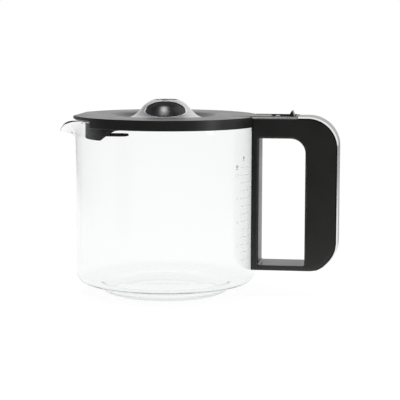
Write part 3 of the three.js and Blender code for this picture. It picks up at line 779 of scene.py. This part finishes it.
def rounded(corners, steps=6):
    """A closed outline from corners given as two places and a radius."""
    outline = []
    for i, (a, b, radius) in enumerate(corners):
        here = Vector((a, b))
        if radius == 0:
            outline.append((a, b))
            continue
        before = (Vector(corners[i - 1][:2]) - here).normalized()
        after = (Vector(corners[(i + 1) % len(corners)][:2]) - here).normalized()
        spread = before.angle(after) / 2
        centre = here + (before + after).normalized() * (radius / math.sin(spread))
        start = here + before * (radius / math.tan(spread)) - centre
        end = here + after * (radius / math.tan(spread)) - centre
        first = math.atan2(start.y, start.x)
        sweep = (math.atan2(end.y, end.x) - first + math.pi) % (2 * math.pi) - math.pi
        for k in range(steps + 1):
            angle = first + sweep * k / steps
            outline.append((centre.x + radius * math.cos(angle), centre.y + radius * math.sin(angle)))
    return outline


def rectangle(left, low, right, high, radii=(0, 0, 0, 0), steps=6):
    """A rectangle with a radius for each corner, from low left round to high left."""
    corners = ((left, low), (right, low), (right, high), (left, high))
    return rounded([(a, b, radius) for (a, b), radius in zip(corners, radii)], steps)


def circle(centre, radius, steps):
    return arc(centre, radius, 0, 360 - 360 / steps, steps - 1)


def trim_share(angle):
    """How much of the trim's thickness is left at an angle on the bottom corner."""
    share = min(1, max(0, (angle - TAIL_END) / (TAIL_FULL - TAIL_END)))
    return share ** 2 * (3 - 2 * share)


def handle_outline(left, bottom, side, top):
    points = [(HANDLE_LEFT + left, HANDLE_BOTTOM + bottom)]
    for i in range(BOTTOM_STEPS + 1):
        angle = 90 * i / BOTTOM_STEPS - 90
        share = trim_share(angle)
        radius = BOTTOM_CORNER - TRIM_SEAT * share - bottom - (side - bottom) * share
        swing = math.radians(angle)
        points.append((LOW_TURN[0] + radius * math.cos(swing), LOW_TURN[1] + radius * math.sin(swing)))
    points += arc(HIGH_TURN, TOP_CORNER - TRIM_SEAT - side, 0, 90, TOP_STEPS)
    return points + [
        (TRIM_START, HANDLE_TOP - TRIM_SEAT - side),
        (TRIM_START, HANDLE_TOP - top),
        (HANDLE_LEFT + left, HANDLE_TOP - top),
    ]


def opening_outline(grown, lowered):
    small = 1 + grown
    return rounded([
        (OPENING_LEFT - grown, OPENING_LOW - lowered, small),
        (OPENING_LEFT - grown, OPENING_HIGH + grown, small),
        (OPENING_RIGHT + grown, OPENING_HIGH + grown, OPENING_CORNER + grown),
        (OPENING_RIGHT + grown, OPENING_LOW - lowered, small),
    ], OPENING_STEPS)


def handle_moulding():
    """The handle's outer rim and finger opening, joined by its two faces."""
    outer = [(handle_outline(*row[:4]), HANDLE_WIDTH / 2 - row[4]) for row in HANDLE_EDGE]
    inner = [(opening_outline(*row[:2]), HANDLE_WIDTH / 2 - row[2]) for row in OPENING_EDGE]
    vertices = []
    faces = []
    starts = []
    for rings in (outer, inner):
        size = len(rings[0][0])
        starts.append(len(vertices))
        stack = [(ring, -y) for ring, y in rings] + [(ring, y) for ring, y in reversed(rings)]
        for ring, y in stack:
            vertices += [(x, y, z) for x, z in ring]
        faces += loft(len(stack), size, starts[-1], closed=False)
        starts.append(len(vertices) - size)
    border = len(outer[0][0])
    hole = len(inner[0][0])
    for outside, inside in ((starts[0], starts[2]), (starts[1], starts[3])):
        index = list(range(outside, outside + border)) + list(range(inside, inside + hole))
        points = [Vector(vertices[i]) for i in index]
        flat_face = tessellate_polygon([points[:border], points[border:]])
        faces += [tuple(index[k] for k in face) for face in flat_face]
    return vertices, faces


def prism(outline, low, high, axis, name="shape", material=None):
    """A closed outline drawn out along one axis."""
    places = {
        "X": lambda a, b, h: (h, a, b),
        "Y": lambda a, b, h: (a, h, b),
        "Z": lambda a, b, h: (a, b, h),
    }
    vertices = [places[axis](a, b, height) for height in (low, high) for a, b in outline]
    return new_piece(name, vertices, capped(2, len(outline)), material)


def both_ways(outline, half, name="shape", material=None):
    """A closed outline seen from the front, drawn out to the front and the back."""
    return prism(outline, -half, half, "Y", name, material)


def bar_across(centre, diameter, length):
    return both_ways(circle(centre, diameter / 2, BAR_STEPS), length / 2)


def join(piece, shape, operation):
    """Changes a piece by a shape in the piece's own material, and drops the shape."""
    shape.data.materials[0] = piece.data.materials[0]
    change = piece.modifiers.new("join", "BOOLEAN")
    change.operation = operation
    change.solver = "MANIFOLD"
    change.object = shape
    settle(piece)
    bpy.data.objects.remove(shape)


def cut(piece, shape):
    join(piece, shape, "DIFFERENCE")


def add(piece, shape):
    join(piece, shape, "UNION")


handle = new_piece("handle_moulding", *handle_moulding(), black_plastic)
seat = circle((0, 0), BODY_RADIUS + GLASS_GAP, ROUND_STEPS)
cut(handle, prism(seat, 0, FAR, "Z"))
side = BOND_WIDTH / 2 + BOND_GAP
swing = math.degrees(math.asin(side / (BOND_OUTER + BOND_GAP)))
recess = [(0, side), (0, -side)]
recess += arc((0, 0), BOND_OUTER + BOND_GAP, -swing, swing, BOND_STEPS)
reach = BOND_HEIGHT / 2 + BOND_GAP
cut(handle, prism(recess, BOND_MIDDLE - reach, BOND_MIDDLE + reach, "Z"))
rounding = (0, CHANNEL_CORNER, CHANNEL_CORNER, 0)
channel = rectangle(0, -CHANNEL_HALF, CHANNEL_END, CHANNEL_HALF, rounding)
cut(handle, prism(channel, CHANNEL_FLOOR, FAR, "Z"))
rounding = (HOLLOW_CORNER, 0, 0, HOLLOW_CORNER)
hollow = rectangle(HOLLOW_LEFT, HOLLOW_LOW, FAR, HOLLOW_HIGH, rounding)
cut(handle, both_ways(hollow, CHANNEL_HALF))
for centre in (LID_PIN, LEVER_PIN):
    cut(handle, bar_across(centre, PIN_HOLE, PIN_HOLE_LENGTH))
soften(handle, angle=32)
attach(handle, "jug")
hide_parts("handle_body")


# Trim: a satin silver strip of rolled aluminium, slightly crowned, with slanted edges and a tail that
# thins out. The slanted edges have a lighter, glossier silver, a painted highlight. It is clipped round
# the outer side of the grip and closes the hollow.
TRIM_THICKNESS = 1.5
TRIM_CROWN = 0.35
TRIM_BEVEL = 3.2
TRIM_SIDE = 0.1
TRIM_CORNER = 0.35
TRIM_GAP = 0.3
TRIM_STEPS = 30
CROWN_HALF_STEPS = 8
TAIL_GAP = 1
TAIL_LOSS = 0.9
HIGHLIGHT_SLANT = (0.2, 0.8)
SILVER = (0.50, 0.50, 0.505)
SILVER_WORN = (0.56, 0.56, 0.565)
SILVER_SHINE = (0.6, 0.6, 0.6, 1)
SILVER_LINES = (0.05, 1, 1)
# The slanted edges' silver, lighter than the strip's: a painted highlight
EDGE_HIGHLIGHT = (0.80, 0.80, 0.805)
EDGE_HIGHLIGHT_WORN = (0.84, 0.84, 0.845)

satin_silver = finish(
    "satin_aluminium", SILVER, SILVER_WORN, rough=0.3, spread=0.12, grain=2600, bump=0.06,
    stretch=SILVER_LINES, strip="along_strip", extra={"Metallic": 1, "Specular Tint": SILVER_SHINE},
)
# A lighter, glossier copy of the silver for the slanted edges, a painted highlight
edge_highlight = finish(
    "bright_cut_edge", EDGE_HIGHLIGHT, EDGE_HIGHLIGHT_WORN, rough=0.24, spread=0.06, grain=2600, bump=0.04,
    strip="along_strip", extra={"Metallic": 1},
)

side = HANDLE_WIDTH / 2
low_edge = TRIM_THICKNESS - TRIM_SIDE
half_profile = [
    (side - TRIM_CORNER, low_edge - TRIM_CORNER / 2), (side, low_edge), (side, TRIM_THICKNESS),
]
profile = [(-across, deep) for across, deep in reversed(half_profile)]
for i in range(-CROWN_HALF_STEPS, CROWN_HALF_STEPS + 1):
    share = i / CROWN_HALF_STEPS
    profile.append(((side - TRIM_BEVEL) * share, TRIM_CROWN * share ** 2))
profile += half_profile
trim_profile = outline_piece("trim_profile", [(x * MM, y * MM, 0) for x, y in profile], closed=True)


def store(tree, geometry, name, value, kind="FLOAT"):
    inputs = {0: geometry, "Name": name, "Value": value}
    return add_node(tree, "GeometryNodeStoreNamedAttribute", inputs, data_type=kind, domain="POINT")


def recall(tree, name, kind="FLOAT"):
    return add_node(tree, "GeometryNodeInputNamedAttribute", {"Name": name}, data_type=kind)


trim_values = {
    "Profile": trim_profile,
    "Taper": math.radians(TAIL_FULL - TAIL_END) * BOTTOM_CORNER * MM,
    "Metal": satin_silver,
}
rolled, size = new_tree("rolled_strip", trim_values)
path = add_node(rolled, "GeometryNodeMeshToCurve", {0: size["Geometry"]})
path = add_node(rolled, "GeometryNodeSetCurveNormal", {0: path, "Normal": (0, 1, 0)}, mode="FREE")
path = store(rolled, path, "run", add_node(rolled, "GeometryNodeSplineParameter").outputs["Length"])
ahead = add_node(rolled, "GeometryNodeInputTangent")
inward = add_node(rolled, "ShaderNodeVectorMath", {0: ahead, 1: (0, 1, 0)}, operation="CROSS_PRODUCT")
path = store(rolled, path, "inward", inward, "FLOAT_VECTOR")
shape = add_node(rolled, "GeometryNodeObjectInfo", {"Object": size["Profile"]})
edge = add_node(rolled, "GeometryNodeMeshToCurve", {0: shape.outputs["Geometry"]})
edge = store(rolled, edge, "depth", split(rolled, position(rolled))["Y"])
full = add_node(rolled, "GeometryNodeCurveToMesh", {
    "Curve": path, "Profile Curve": edge, "Fill Caps": True,
})
run = recall(rolled, "run")
lost = times(rolled, ramp(rolled, run, (0, size["Taper"]), -TAIL_LOSS, 0), recall(rolled, "depth"))
thinned = add_node(rolled, "ShaderNodeVectorMath", {
    0: recall(rolled, "inward", "FLOAT_VECTOR"), "Scale": lost,
}, operation="SCALE")
swept = add_node(rolled, "GeometryNodeSetPosition", {0: full, "Offset": thinned})
across = split(rolled, position(rolled))["Y"]
along = add_node(rolled, "ShaderNodeCombineXYZ", {"X": run, "Y": across})
marked = store(rolled, swept, "along_strip", along, "FLOAT_VECTOR")
end_tree(rolled, marked, size["Metal"], smooth=False)

route = arc(LOW_TURN, BOTTOM_CORNER, TAIL_END + TAIL_GAP, 0, TRIM_STEPS)
route += arc(HIGH_TURN, TOP_CORNER, 0, 90, TRIM_STEPS) + [(TRIM_START + TRIM_GAP, HANDLE_TOP)]
trim = outline_piece("trim_strip", upright(route))
grow(trim, rolled, trim_values)
bpy.data.objects.remove(trim_profile)
face_outwards(trim)
# Faces on the slanted edges take the lighter silver, a painted highlight
trim.data.materials.append(edge_highlight)
for face in trim.data.polygons:
    face.material_index = int(HIGHLIGHT_SLANT[0] < abs(face.normal.y) < HIGHLIGHT_SLANT[1])
soften(trim, angle=25)
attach(trim, "jug")
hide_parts("handle_trim")


# Hinge pins: two drawn steel bars with chamfered ends, pushed through the lid's knuckles and
# the lever's lug into blind holes in the head's side walls.
PIN_DIAMETER = 2.4
PIN_LENGTH = 31.8
PIN_CHAMFER = 0.35
PIN_STEPS = 32
STEEL = (0.50, 0.51, 0.52)
STEEL_WORN = (0.58, 0.59, 0.60)
STEEL_LINES = (1, 0.06, 1)
PINS = (("lid_pin_bar", "lid_hinge_pin", LID_PIN), ("lever_pin_bar", "lever_pin", LEVER_PIN))

drawn_steel = finish(
    "drawn_steel", STEEL, STEEL_WORN, rough=0.24, spread=0.12, grain=1800, bump=0.08,
    stretch=STEEL_LINES, extra={"Metallic": 1},
)


def chamfered_bar(centre):
    radius = PIN_DIAMETER / 2
    end = PIN_LENGTH / 2
    vertices = []
    for size, y in (
        (radius - PIN_CHAMFER, -end), (radius, PIN_CHAMFER - end),
        (radius, end - PIN_CHAMFER), (radius - PIN_CHAMFER, end),
    ):
        vertices += [(x, y, z) for x, z in circle(centre, size, PIN_STEPS)]
    return vertices, capped(4, PIN_STEPS)


for name, node, centre in PINS:
    bar = new_piece(name, *chamfered_bar(centre), drawn_steel)
    soften(bar)
    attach(bar, "jug")
    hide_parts(node)


# Return spring: round steel wire wound into five turns with closed ends. It stands on the
# channel's floor under the lever's thumb end and is pressed flat as the lever goes down.
SPRING_FOOT = (96.9, 0, 129.85)
SPRING_RADIUS = 2.15
SPRING_WIRE = 0.7
SPRING_TURNS = 5
SPRING_RISE = 6.4
CLOSED_SHARE = 0.2
OPEN_SHARE = 1 - 2 * CLOSED_SHARE
TURN_STEPS = 36
WIRE_STEPS = 12

spring_values = {
    "Turns": SPRING_TURNS,
    "Radius": SPRING_RADIUS * MM,
    "Wire": SPRING_WIRE * MM,
    "Rise": SPRING_RISE * MM,
    "Foot": [place * MM for place in SPRING_FOOT],
    "Metal": drawn_steel,
}
wound, size = new_tree("wound_spring", spring_values)
coil = add_node(wound, "GeometryNodeCurveSpiral", {
    "Resolution": TURN_STEPS,
    "Rotations": size["Turns"],
    "Start Radius": size["Radius"],
    "End Radius": size["Radius"],
    "Height": size["Rise"],
})
share = add_node(wound, "GeometryNodeSplineParameter").outputs["Factor"]
closed_rise = times(wound, size["Wire"], size["Turns"])
middle = calc(wound, "MAXIMUM", calc(wound, "SUBTRACT", share, CLOSED_SHARE), 0)
middle = calc(wound, "MINIMUM", middle, OPEN_SHARE)
open_rise = calc(wound, "DIVIDE", calc(wound, "SUBTRACT", size["Rise"], closed_rise), OPEN_SHARE)
height = calc(wound, "MULTIPLY_ADD", middle, open_rise, times(wound, share, closed_rise))
flat = split(wound, position(wound))
spaced = add_node(wound, "ShaderNodeCombineXYZ", {"X": flat["X"], "Y": flat["Y"], "Z": height})
coil = add_node(wound, "GeometryNodeSetPosition", {0: coil, "Position": spaced, "Offset": size["Foot"]})
wire = add_node(wound, "GeometryNodeCurvePrimitiveCircle", {
    "Resolution": WIRE_STEPS, "Radius": times(wound, size["Wire"], 0.5),
})
tube = add_node(wound, "GeometryNodeCurveToMesh", {
    "Curve": coil, "Profile Curve": wire, "Fill Caps": True,
})
end_tree(wound, tube, size["Metal"])

spring = outline_piece("lever_return_spring", upright([(0, 0), (1, 0)]))
grow(spring, wound, spring_values)
face_outwards(spring)
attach(spring, "jug")
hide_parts("lever_spring")
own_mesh(spring)


# Thumb lever: a scooped key of the same black plastic with a raised fin at its end. A lug turns
# on the second pin, and a hooked nose reaches under the lid's arm to tip it open.
LEVER_HALF = 12.5
LEVER_LUG = 2.6
LEVER_EDGE = 0.8
EASE_ANGLE = 40
EASE_STEPS = 3
KEY_BACK = 85.3
KEY_END = 100.4
KEY_LOW = 136.9
FIN_HALF = 7
FIN_FOOT = 138
FIN_END = 100.3
FIN_TOP = 145
WEB_INSET = 0.3
WEB_LOW = 135
WEB_HIGH = 137.4
WEB_BACK = 87
WEB_FRONT = 92.2
NOSE_HALF = 4.6
NOSE_TIP = 76.2
NOSE_HOOK = 77.4
NOSE_LOW = 129.8
NOSE_FLOOR = 132.2
NOSE_TOP = 135.9


def ease(piece, width):
    """Rounds a piece's sharp edges a little."""
    round_over = piece.modifiers.new("ease", "BEVEL")
    round_over.width = width * MM
    round_over.segments = EASE_STEPS
    round_over.limit_method = "ANGLE"
    round_over.angle_limit = math.radians(EASE_ANGLE)
    round_over.use_clamp_overlap = True
    settle(piece)


key = rounded([
    (KEY_BACK, KEY_LOW, 0.3), (KEY_END, KEY_LOW, 0.3), (KEY_END, 139.7, 0.5), (95.5, 138.4, 1.6),
    (90.5, 138.5, 6), (86.8, 140.3, 1.2), (KEY_BACK, 140.1, 0.3),
])
lever = both_ways(key, LEVER_HALF, "lever_key", black_plastic)
ease(lever, LEVER_EDGE)
fin = rounded([(94.6, FIN_FOOT, 0), (FIN_END, FIN_FOOT, 0), (FIN_END, 139.9, 0.3), (98.5, FIN_TOP, 0.5)])
add(lever, both_ways(fin, FIN_HALF))
web = rectangle(WEB_BACK, WEB_LOW, WEB_FRONT, WEB_HIGH)
add(lever, both_ways(web, LEVER_HALF - WEB_INSET))
add(lever, bar_across(LEVER_PIN, 2 * LEVER_LUG, 2 * LEVER_HALF))
nose = rounded([
    (NOSE_TIP, 130.4, 0.3), (NOSE_HOOK, NOSE_LOW, 0.5), (LEVER_PIN[0], NOSE_LOW, 0), (*LEVER_PIN, 0),
    (87.05, LEVER_PIN[1], 0), (84.4, NOSE_FLOOR, 1), (NOSE_HOOK, NOSE_FLOOR, 0.4),
    (NOSE_HOOK, NOSE_TOP, 0.3), (NOSE_TIP, NOSE_TOP, 0.3),
])
add(lever, both_ways(nose, NOSE_HALF))
cut(lever, bar_across(LEVER_PIN, PIN_HOLE, FAR))
soften(lever)
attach(lever, "thumb_lever")
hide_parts("thumb_lever")


# Lid: a flanged disc moulded in satin black plastic with a shallow dish round the dome and an edge
# turned down round the glass rim. A flat arm on it runs into the handle's channel and ends in two
# knuckles on the hinge pin.
LID_UNDER = 136.5
LID_TOP = 140
LID_RADIUS = 71.7
LIP_START = -67.7
LIP_TOP = 138.9
LIP_UNDER = 137.7
LIP_SLOPE = 0.5
CAP_INNER = 69.9
CAP_LOW = 132.1
CAP_TOP = 138
CAP_START = -50
DISH_TOP = 136.5
DISH_UNDER = 134.1
NECK_HOLE = 8.1
NOTCH_START = 67
NOTCH_HALF = 18
NOTCH_CORNER = 1.5
ARM_START = 51
ARM_END = 81.8
ARM_UNDER = 136.6
ARM_TOP = 140.3
ARM_HALF = 12.5
ARM_EDGE = 0.8
KNUCKLE = 2.8
SLOT_HALF = 5
SLOT_BACK = 76.4
SLOT_STEP = 79
SLOT_END = 86
SLOT_LOW = 131.9
SLOT_TOP = 138.95


def turned_ring(outline, steps, name="shape", material=None):
    """A closed outline of radius and height turned about the jug's axis."""
    vertices = []
    for i in range(steps):
        angle = 2 * math.pi * i / steps
        vertices += [(r * math.cos(angle), r * math.sin(angle), z) for r, z in outline]
    return new_piece(name, vertices, loft(steps, len(outline)), material)


plate = rounded([
    (NECK_HOLE, DISH_UNDER, 0.2), (32.5, DISH_UNDER, 2), (44, LID_UNDER, 2), (CAP_INNER, LID_UNDER, 0.8),
    (LID_RADIUS, 137.5, 0.8), (LID_RADIUS, LID_TOP, 0.25), (43.5, 140.3, 2.2), (39.5, 139.6, 4),
    (32.6, DISH_TOP, 4), (NECK_HOLE, DISH_TOP, 0.2),
])
lid = turned_ring(plate, ROUND_STEPS, "lid_disc", black_plastic)
cap = rectangle(CAP_INNER, CAP_LOW, LID_RADIUS, CAP_TOP, (0.3, 0.4, 0, 0))
cap_edge = turned_ring(cap, ROUND_STEPS)
open_side = rectangle(-FAR, -FAR, CAP_START, FAR)
cut(cap_edge, prism(open_side, 0, FAR, "Z"))
add(lid, cap_edge)
notch = rectangle(NOTCH_START, -NOTCH_HALF, FAR, NOTCH_HALF, (NOTCH_CORNER, 0, 0, NOTCH_CORNER))
cut(lid, prism(notch, 0, FAR, "Z"))
step = [
    (-FAR, LIP_TOP), (LIP_START, LIP_TOP), (LIP_START + LIP_SLOPE, LID_TOP + 1), (-FAR, LID_TOP + 1),
]
cut(lid, both_ways(step, FAR))
under = [
    (-FAR, 0), (LIP_START, 0), (LIP_START, LID_UNDER), (LIP_START - 1, LIP_UNDER), (-FAR, LIP_UNDER),
]
cut(lid, both_ways(under, FAR))
arm = rounded([
    (ARM_START, ARM_UNDER, 0), (LID_PIN[0], ARM_UNDER, 0), (ARM_END, LID_PIN[1], 0.3),
    (ARM_END, ARM_TOP, 0.4), (ARM_START + 1.5, ARM_TOP, 0.6), (ARM_START, LID_TOP - 0.1, 0.6),
])
hinge_arm = both_ways(arm, ARM_HALF)
ease(hinge_arm, ARM_EDGE)
add(lid, hinge_arm)
add(lid, bar_across(LID_PIN, 2 * KNUCKLE, 2 * ARM_HALF))
slot = [
    (SLOT_BACK, LID_UNDER), (SLOT_STEP, LID_UNDER), (SLOT_STEP, SLOT_TOP),
    (SLOT_END, SLOT_TOP), (SLOT_END, SLOT_LOW), (SLOT_BACK, SLOT_LOW),
]
cut(lid, both_ways(slot, SLOT_HALF))
cut(lid, bar_across(LID_PIN, PIN_HOLE, FAR))
soften(lid, angle=30)
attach(lid, "lid")
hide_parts("lid_plate")


# Skirt: a black moulded ring clipped under the lid. It centres the lid in the rim, and on the
# spout's side it goes deeper into a pour guide with a flat baffle.
SKIRT_RADIUS = 62.4
SKIRT_INNER = 60.4
SKIRT_TOP = 136.2
SKIRT_LOW = 131.8
GUIDE_LOW = 122.5
GUIDE_LOW_HALF = 41.5
GUIDE_TOP_HALF = 54.2
GUIDE_CORNER = 3
LEDGE_INNER = 47
LEDGE_OUTER = 61.4
LEDGE_LOW = 134.6
BAFFLE_LOW = 122.9
BAFFLE_HIGH = 123.9
BAFFLE_HALF = 6.5
BAFFLE_END = -29.4
BAFFLE_ROOT = -SKIRT_INNER - 0.6
BAFFLE_STEPS = 24
CUT_OVERLAP = 0.01

matt_black = finish(
    "matt_black", BLACK, BLACK_WORN, rough=0.5, spread=0.08, grain=1400, bump=0.1,
    extra={"Specular IOR Level": 0},
)

ring = rectangle(SKIRT_INNER, GUIDE_LOW, SKIRT_RADIUS, SKIRT_TOP, (0.5, 0.5, 0.3, 0.3), 4)
skirt = turned_ring(ring, ROUND_STEPS, "lid_skirt", matt_black)
beside_guide = rounded([
    (-FAR, SKIRT_LOW, 0), (-GUIDE_TOP_HALF, SKIRT_LOW, GUIDE_CORNER),
    (-GUIDE_LOW_HALF, GUIDE_LOW - 1, 0), (GUIDE_LOW_HALF, GUIDE_LOW - 1, 0),
    (GUIDE_TOP_HALF, SKIRT_LOW, GUIDE_CORNER), (FAR, SKIRT_LOW, 0), (FAR, 0, 0), (-FAR, 0, 0),
])
cut(skirt, prism(beside_guide, -FAR, 0, "X"))
cut(skirt, prism(rectangle(-FAR, 0, FAR, SKIRT_LOW), -CUT_OVERLAP, FAR, "X"))
ledge = rectangle(LEDGE_INNER, LEDGE_LOW, LEDGE_OUTER, SKIRT_TOP, (0.4, 0, 0, 0.4), 4)
add(skirt, turned_ring(ledge, ROUND_STEPS))
tongue = [(BAFFLE_ROOT, BAFFLE_HALF), (BAFFLE_ROOT, -BAFFLE_HALF)]
tongue += arc((BAFFLE_END - BAFFLE_HALF, 0), BAFFLE_HALF, -90, 90, BAFFLE_STEPS)
add(skirt, prism(tongue, BAFFLE_LOW, BAFFLE_HIGH, "Z"))
soften(skirt, angle=30)
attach(skirt, "lid")
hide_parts("lid_insert")


# Dome core: a polished black moulding with two raised panes that fill the dome's windows. Its middle
# is a funnel for the coffee, and its neck goes down through the lid.
DOME_BASE = 136.8
DOME_HEIGHT = 15
DOME_WALL = 1.5
BELL = ((30.5, 0.4), (24.8, 2.55), (20.4, 6.45), (16.6, 10.8), (12.9, 13.5), (10, 14.8))
CORE_WALL = 1.6
CORE_GAP = 0.3
CORE_STEPS = 160
# From and to, as shares of the bell's flare, and the steps between
CORE_OUTSIDE = (0.2, 0.96, 40)
CORE_INSIDE = (0.22, 0.8, 24)
PANE_FACE = (0.06, 0.97, 40)
PANE_BACK = (0.12, 0.95, 30)
FUNNEL_RADIUS = 5.5
FUNNEL_FALL = 2
NECK_RADIUS = 7.7
NECK_LOW = 127.1
WINDOW_HALF = 15.8
WINDOW_MIDDLE = 142.9
WINDOW_ABOVE = 8.1
WINDOW_BELOW = 3.3
WINDOW_ROUND = 0.95
WINDOW_STEPS = 96
WINDOW_TURN = math.radians(7)
WINDOW_NEAR = 2
PANE_INSET = 0.45
PANE_GAP = 0.3
PANE_WALL = 1
POLISHED = (0.006, 0.006, 0.006)
POLISHED_WORN = (0.008, 0.008, 0.008)

gloss_black = finish(
    "polished_black", POLISHED, POLISHED_WORN, rough=0.26, spread=0.05, grain=300, bump=0.005,
)


def bell(share, inset):
    """A place on the bell's flare, from its foot to the inlet, set in along the normal."""
    place = min(share, 0.9999) * (len(BELL) - 1)
    first = int(place)
    t = place - first
    ends = [Vector(BELL[max(0, min(first + k, len(BELL) - 1))]) for k in (-1, 0, 1, 2)]
    leave = (ends[2] - ends[0]) / 2
    arrive = (ends[3] - ends[1]) / 2
    cubic = 2 * ends[1] - 2 * ends[2] + leave + arrive
    square = -3 * ends[1] + 3 * ends[2] - 2 * leave - arrive
    point = ((cubic * t + square) * t + leave) * t + ends[1]
    along = ((3 * cubic * t + 2 * square) * t + leave).normalized()
    return (point.x - along.y * inset, DOME_BASE + point.y + along.x * inset)


def bell_points(inset, start, end, steps):
    return [bell(start + (end - start) * i / steps, inset) for i in range(steps + 1)]


def window_oval(shrink):
    """The window's edge seen from the front: an oval that rises higher than it falls."""
    oval = []
    for i in range(WINDOW_STEPS):
        angle = 2 * math.pi * i / WINDOW_STEPS
        tall = WINDOW_ABOVE if math.sin(angle) > 0 else -WINDOW_BELOW
        rise = math.copysign(abs(tall) - shrink, tall) * abs(math.sin(angle)) ** WINDOW_ROUND
        oval.append(((WINDOW_HALF - shrink) * math.cos(angle), WINDOW_MIDDLE + rise))
    return oval


def window_prism(side, shrink):
    """The oval drawn out from the jug's axis to the front or the back, turned towards the handle."""
    made = prism(window_oval(shrink), WINDOW_NEAR * side, FAR * side, "Y")
    made.data.transform(Matrix.Rotation(-side * WINDOW_TURN, 4, "Z"))
    return made


outside = bell_points(DOME_WALL + CORE_GAP, *CORE_OUTSIDE)
inside = bell_points(DOME_WALL + CORE_GAP + CORE_WALL, *CORE_INSIDE)[::-1]
rim = outside[-1]
neck_top = inside[0][1]
core_outline = [(outside[0][0], DOME_BASE)] + outside + [
    (rim[0] - CORE_WALL, rim[1]), (FUNNEL_RADIUS, neck_top - FUNNEL_FALL), (FUNNEL_RADIUS, NECK_LOW + 0.3),
    (FUNNEL_RADIUS + 0.3, NECK_LOW), (NECK_RADIUS - 0.4, NECK_LOW), (NECK_RADIUS, NECK_LOW + 0.6),
    (NECK_RADIUS, neck_top - CORE_WALL),
] + inside + [(inside[-1][0], DOME_BASE)]
core = turned_ring(core_outline, CORE_STEPS, "dome_core_polished", gloss_black)
pane_outline = bell_points(PANE_INSET, *PANE_FACE)
pane_outline += bell_points(DOME_WALL + PANE_WALL, *PANE_BACK)[::-1]
for side in (-1, 1):
    pane = turned_ring(pane_outline, CORE_STEPS)
    join(pane, window_prism(side, PANE_GAP), "INTERSECT")
    add(core, pane)
soften(core, angle=30)
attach(core, "lid")
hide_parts("dome_core")


# Neck ring: a plain black ring pushed on the core's neck from below. It holds dome and core
# against the lid.
COLLAR_INNER = 8
COLLAR_OUTER = 11.6
COLLAR_LOW = 131.4
COLLAR_HIGH = 133.8
COLLAR_STEPS = 120

ring = rectangle(COLLAR_INNER, COLLAR_LOW, COLLAR_OUTER, COLLAR_HIGH, (0.3, 0.6, 0.3, 0.2), 4)
collar = turned_ring(ring, COLLAR_STEPS, "neck_collar", black_plastic)
soften(collar)
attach(collar, "lid")
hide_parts("neck_ring")


# Dome: a plated plastic bell on the dish, with an oval window in front and behind and a round inlet
# in its top. A satin bead along each window's flanks thins out at its bottom and top. Its silver is
# lighter than the bell's, a painted highlight for the bright line round each window.
INLET_RADIUS = 9.4
FOOT_EDGE = 30.3
BELL_STEPS = 200
SHELL_OUTSIDE = (0, 1, 60)
SHELL_INSIDE = (0.16, 0.98, 40)
BEAD_RADIUS = 0.4
BEAD_STEPS = 12
BEAD_THIN = 0.25
BEAD_LOW = (140.4, 142.2)
BEAD_HIGH = (148.2, 150.2)
PLATED = (0.56, 0.56, 0.565)
PLATED_WORN = (0.61, 0.61, 0.615)
# The bead's silver, lighter than the bell's: a painted highlight
BEAD_HIGHLIGHT = (0.75, 0.75, 0.755)
BEAD_HIGHLIGHT_WORN = (0.8, 0.8, 0.805)

plated_silver = finish(
    "plated_silver", PLATED, PLATED_WORN, rough=0.28, spread=0.08, grain=1800, bump=0.03,
    extra={"Metallic": 1},
)
# A lighter silver for the beads, a painted highlight for the bright line round each window
bead_highlight = finish(
    "polished_silver", BEAD_HIGHLIGHT, BEAD_HIGHLIGHT_WORN, rough=0.6, spread=0.06, grain=1800, bump=0.02,
    extra={"Metallic": 1},
)

outside = bell_points(0, *SHELL_OUTSIDE)
inside = bell_points(DOME_WALL, *SHELL_INSIDE)[::-1]
top = DOME_BASE + DOME_HEIGHT
shell_outline = [(FOOT_EDGE, DOME_BASE), (BELL[0][0], DOME_BASE + 0.15)] + outside + [
    (INLET_RADIUS + 0.25, top), (INLET_RADIUS, top - 0.2), (INLET_RADIUS, top - DOME_WALL),
] + inside + [(inside[-1][0], DOME_BASE)]
shell = turned_ring(shell_outline, BELL_STEPS, "dome_bell", plated_silver)
for side in (-1, 1):
    cut(shell, window_prism(side, 0))
soften(shell, angle=30)
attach(shell, "lid")
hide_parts("dome_shell")

bead_values = {
    "Radius": BEAD_RADIUS * MM,
    "Thin": BEAD_THIN,
    "Low Start": BEAD_LOW[0] * MM,
    "Low End": BEAD_LOW[1] * MM,
    "High Start": BEAD_HIGH[0] * MM,
    "High End": BEAD_HIGH[1] * MM,
    "Metal": bead_highlight,
}
beaded, size = new_tree("window_bead", bead_values)
height = split(beaded, position(beaded))["Z"]
swelling = ramp(beaded, height, (size["Low Start"], size["Low End"]), size["Thin"], 1)
thinning = ramp(beaded, height, (size["High Start"], size["High End"]), 1, size["Thin"])
tube = add_node(beaded, "GeometryNodeCurveToMesh", {
    "Curve": add_node(beaded, "GeometryNodeMeshToCurve", {0: size["Geometry"]}),
    "Profile Curve": add_node(beaded, "GeometryNodeCurvePrimitiveCircle", {
        "Resolution": BEAD_STEPS, "Radius": size["Radius"],
    }),
    "Scale": calc(beaded, "MINIMUM", swelling, thinning),
})
end_tree(beaded, tube, size["Metal"])


def bell_radius(height):
    """Radius of the bell's outside at a height."""
    for (wide, low), (narrow, high) in zip(outside, outside[1:]):
        if low <= height <= high:
            return wide + (narrow - wide) * (height - low) / (high - low)
    return outside[-1][0]


for side, name in ((-1, "front_window_bead"), (1, "back_window_bead")):
    ring = []
    for across, height in window_oval(0):
        deep = math.sqrt(bell_radius(height) ** 2 - across ** 2)
        ring.append(Vector((across, side * deep, height)) * MM)
    bead = outline_piece(name, ring, closed=True)
    bead.data.transform(Matrix.Rotation(-side * WINDOW_TURN, 4, "Z"))
    grow(bead, beaded, bead_values)
    face_outwards(bead)
    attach(bead, "lid")
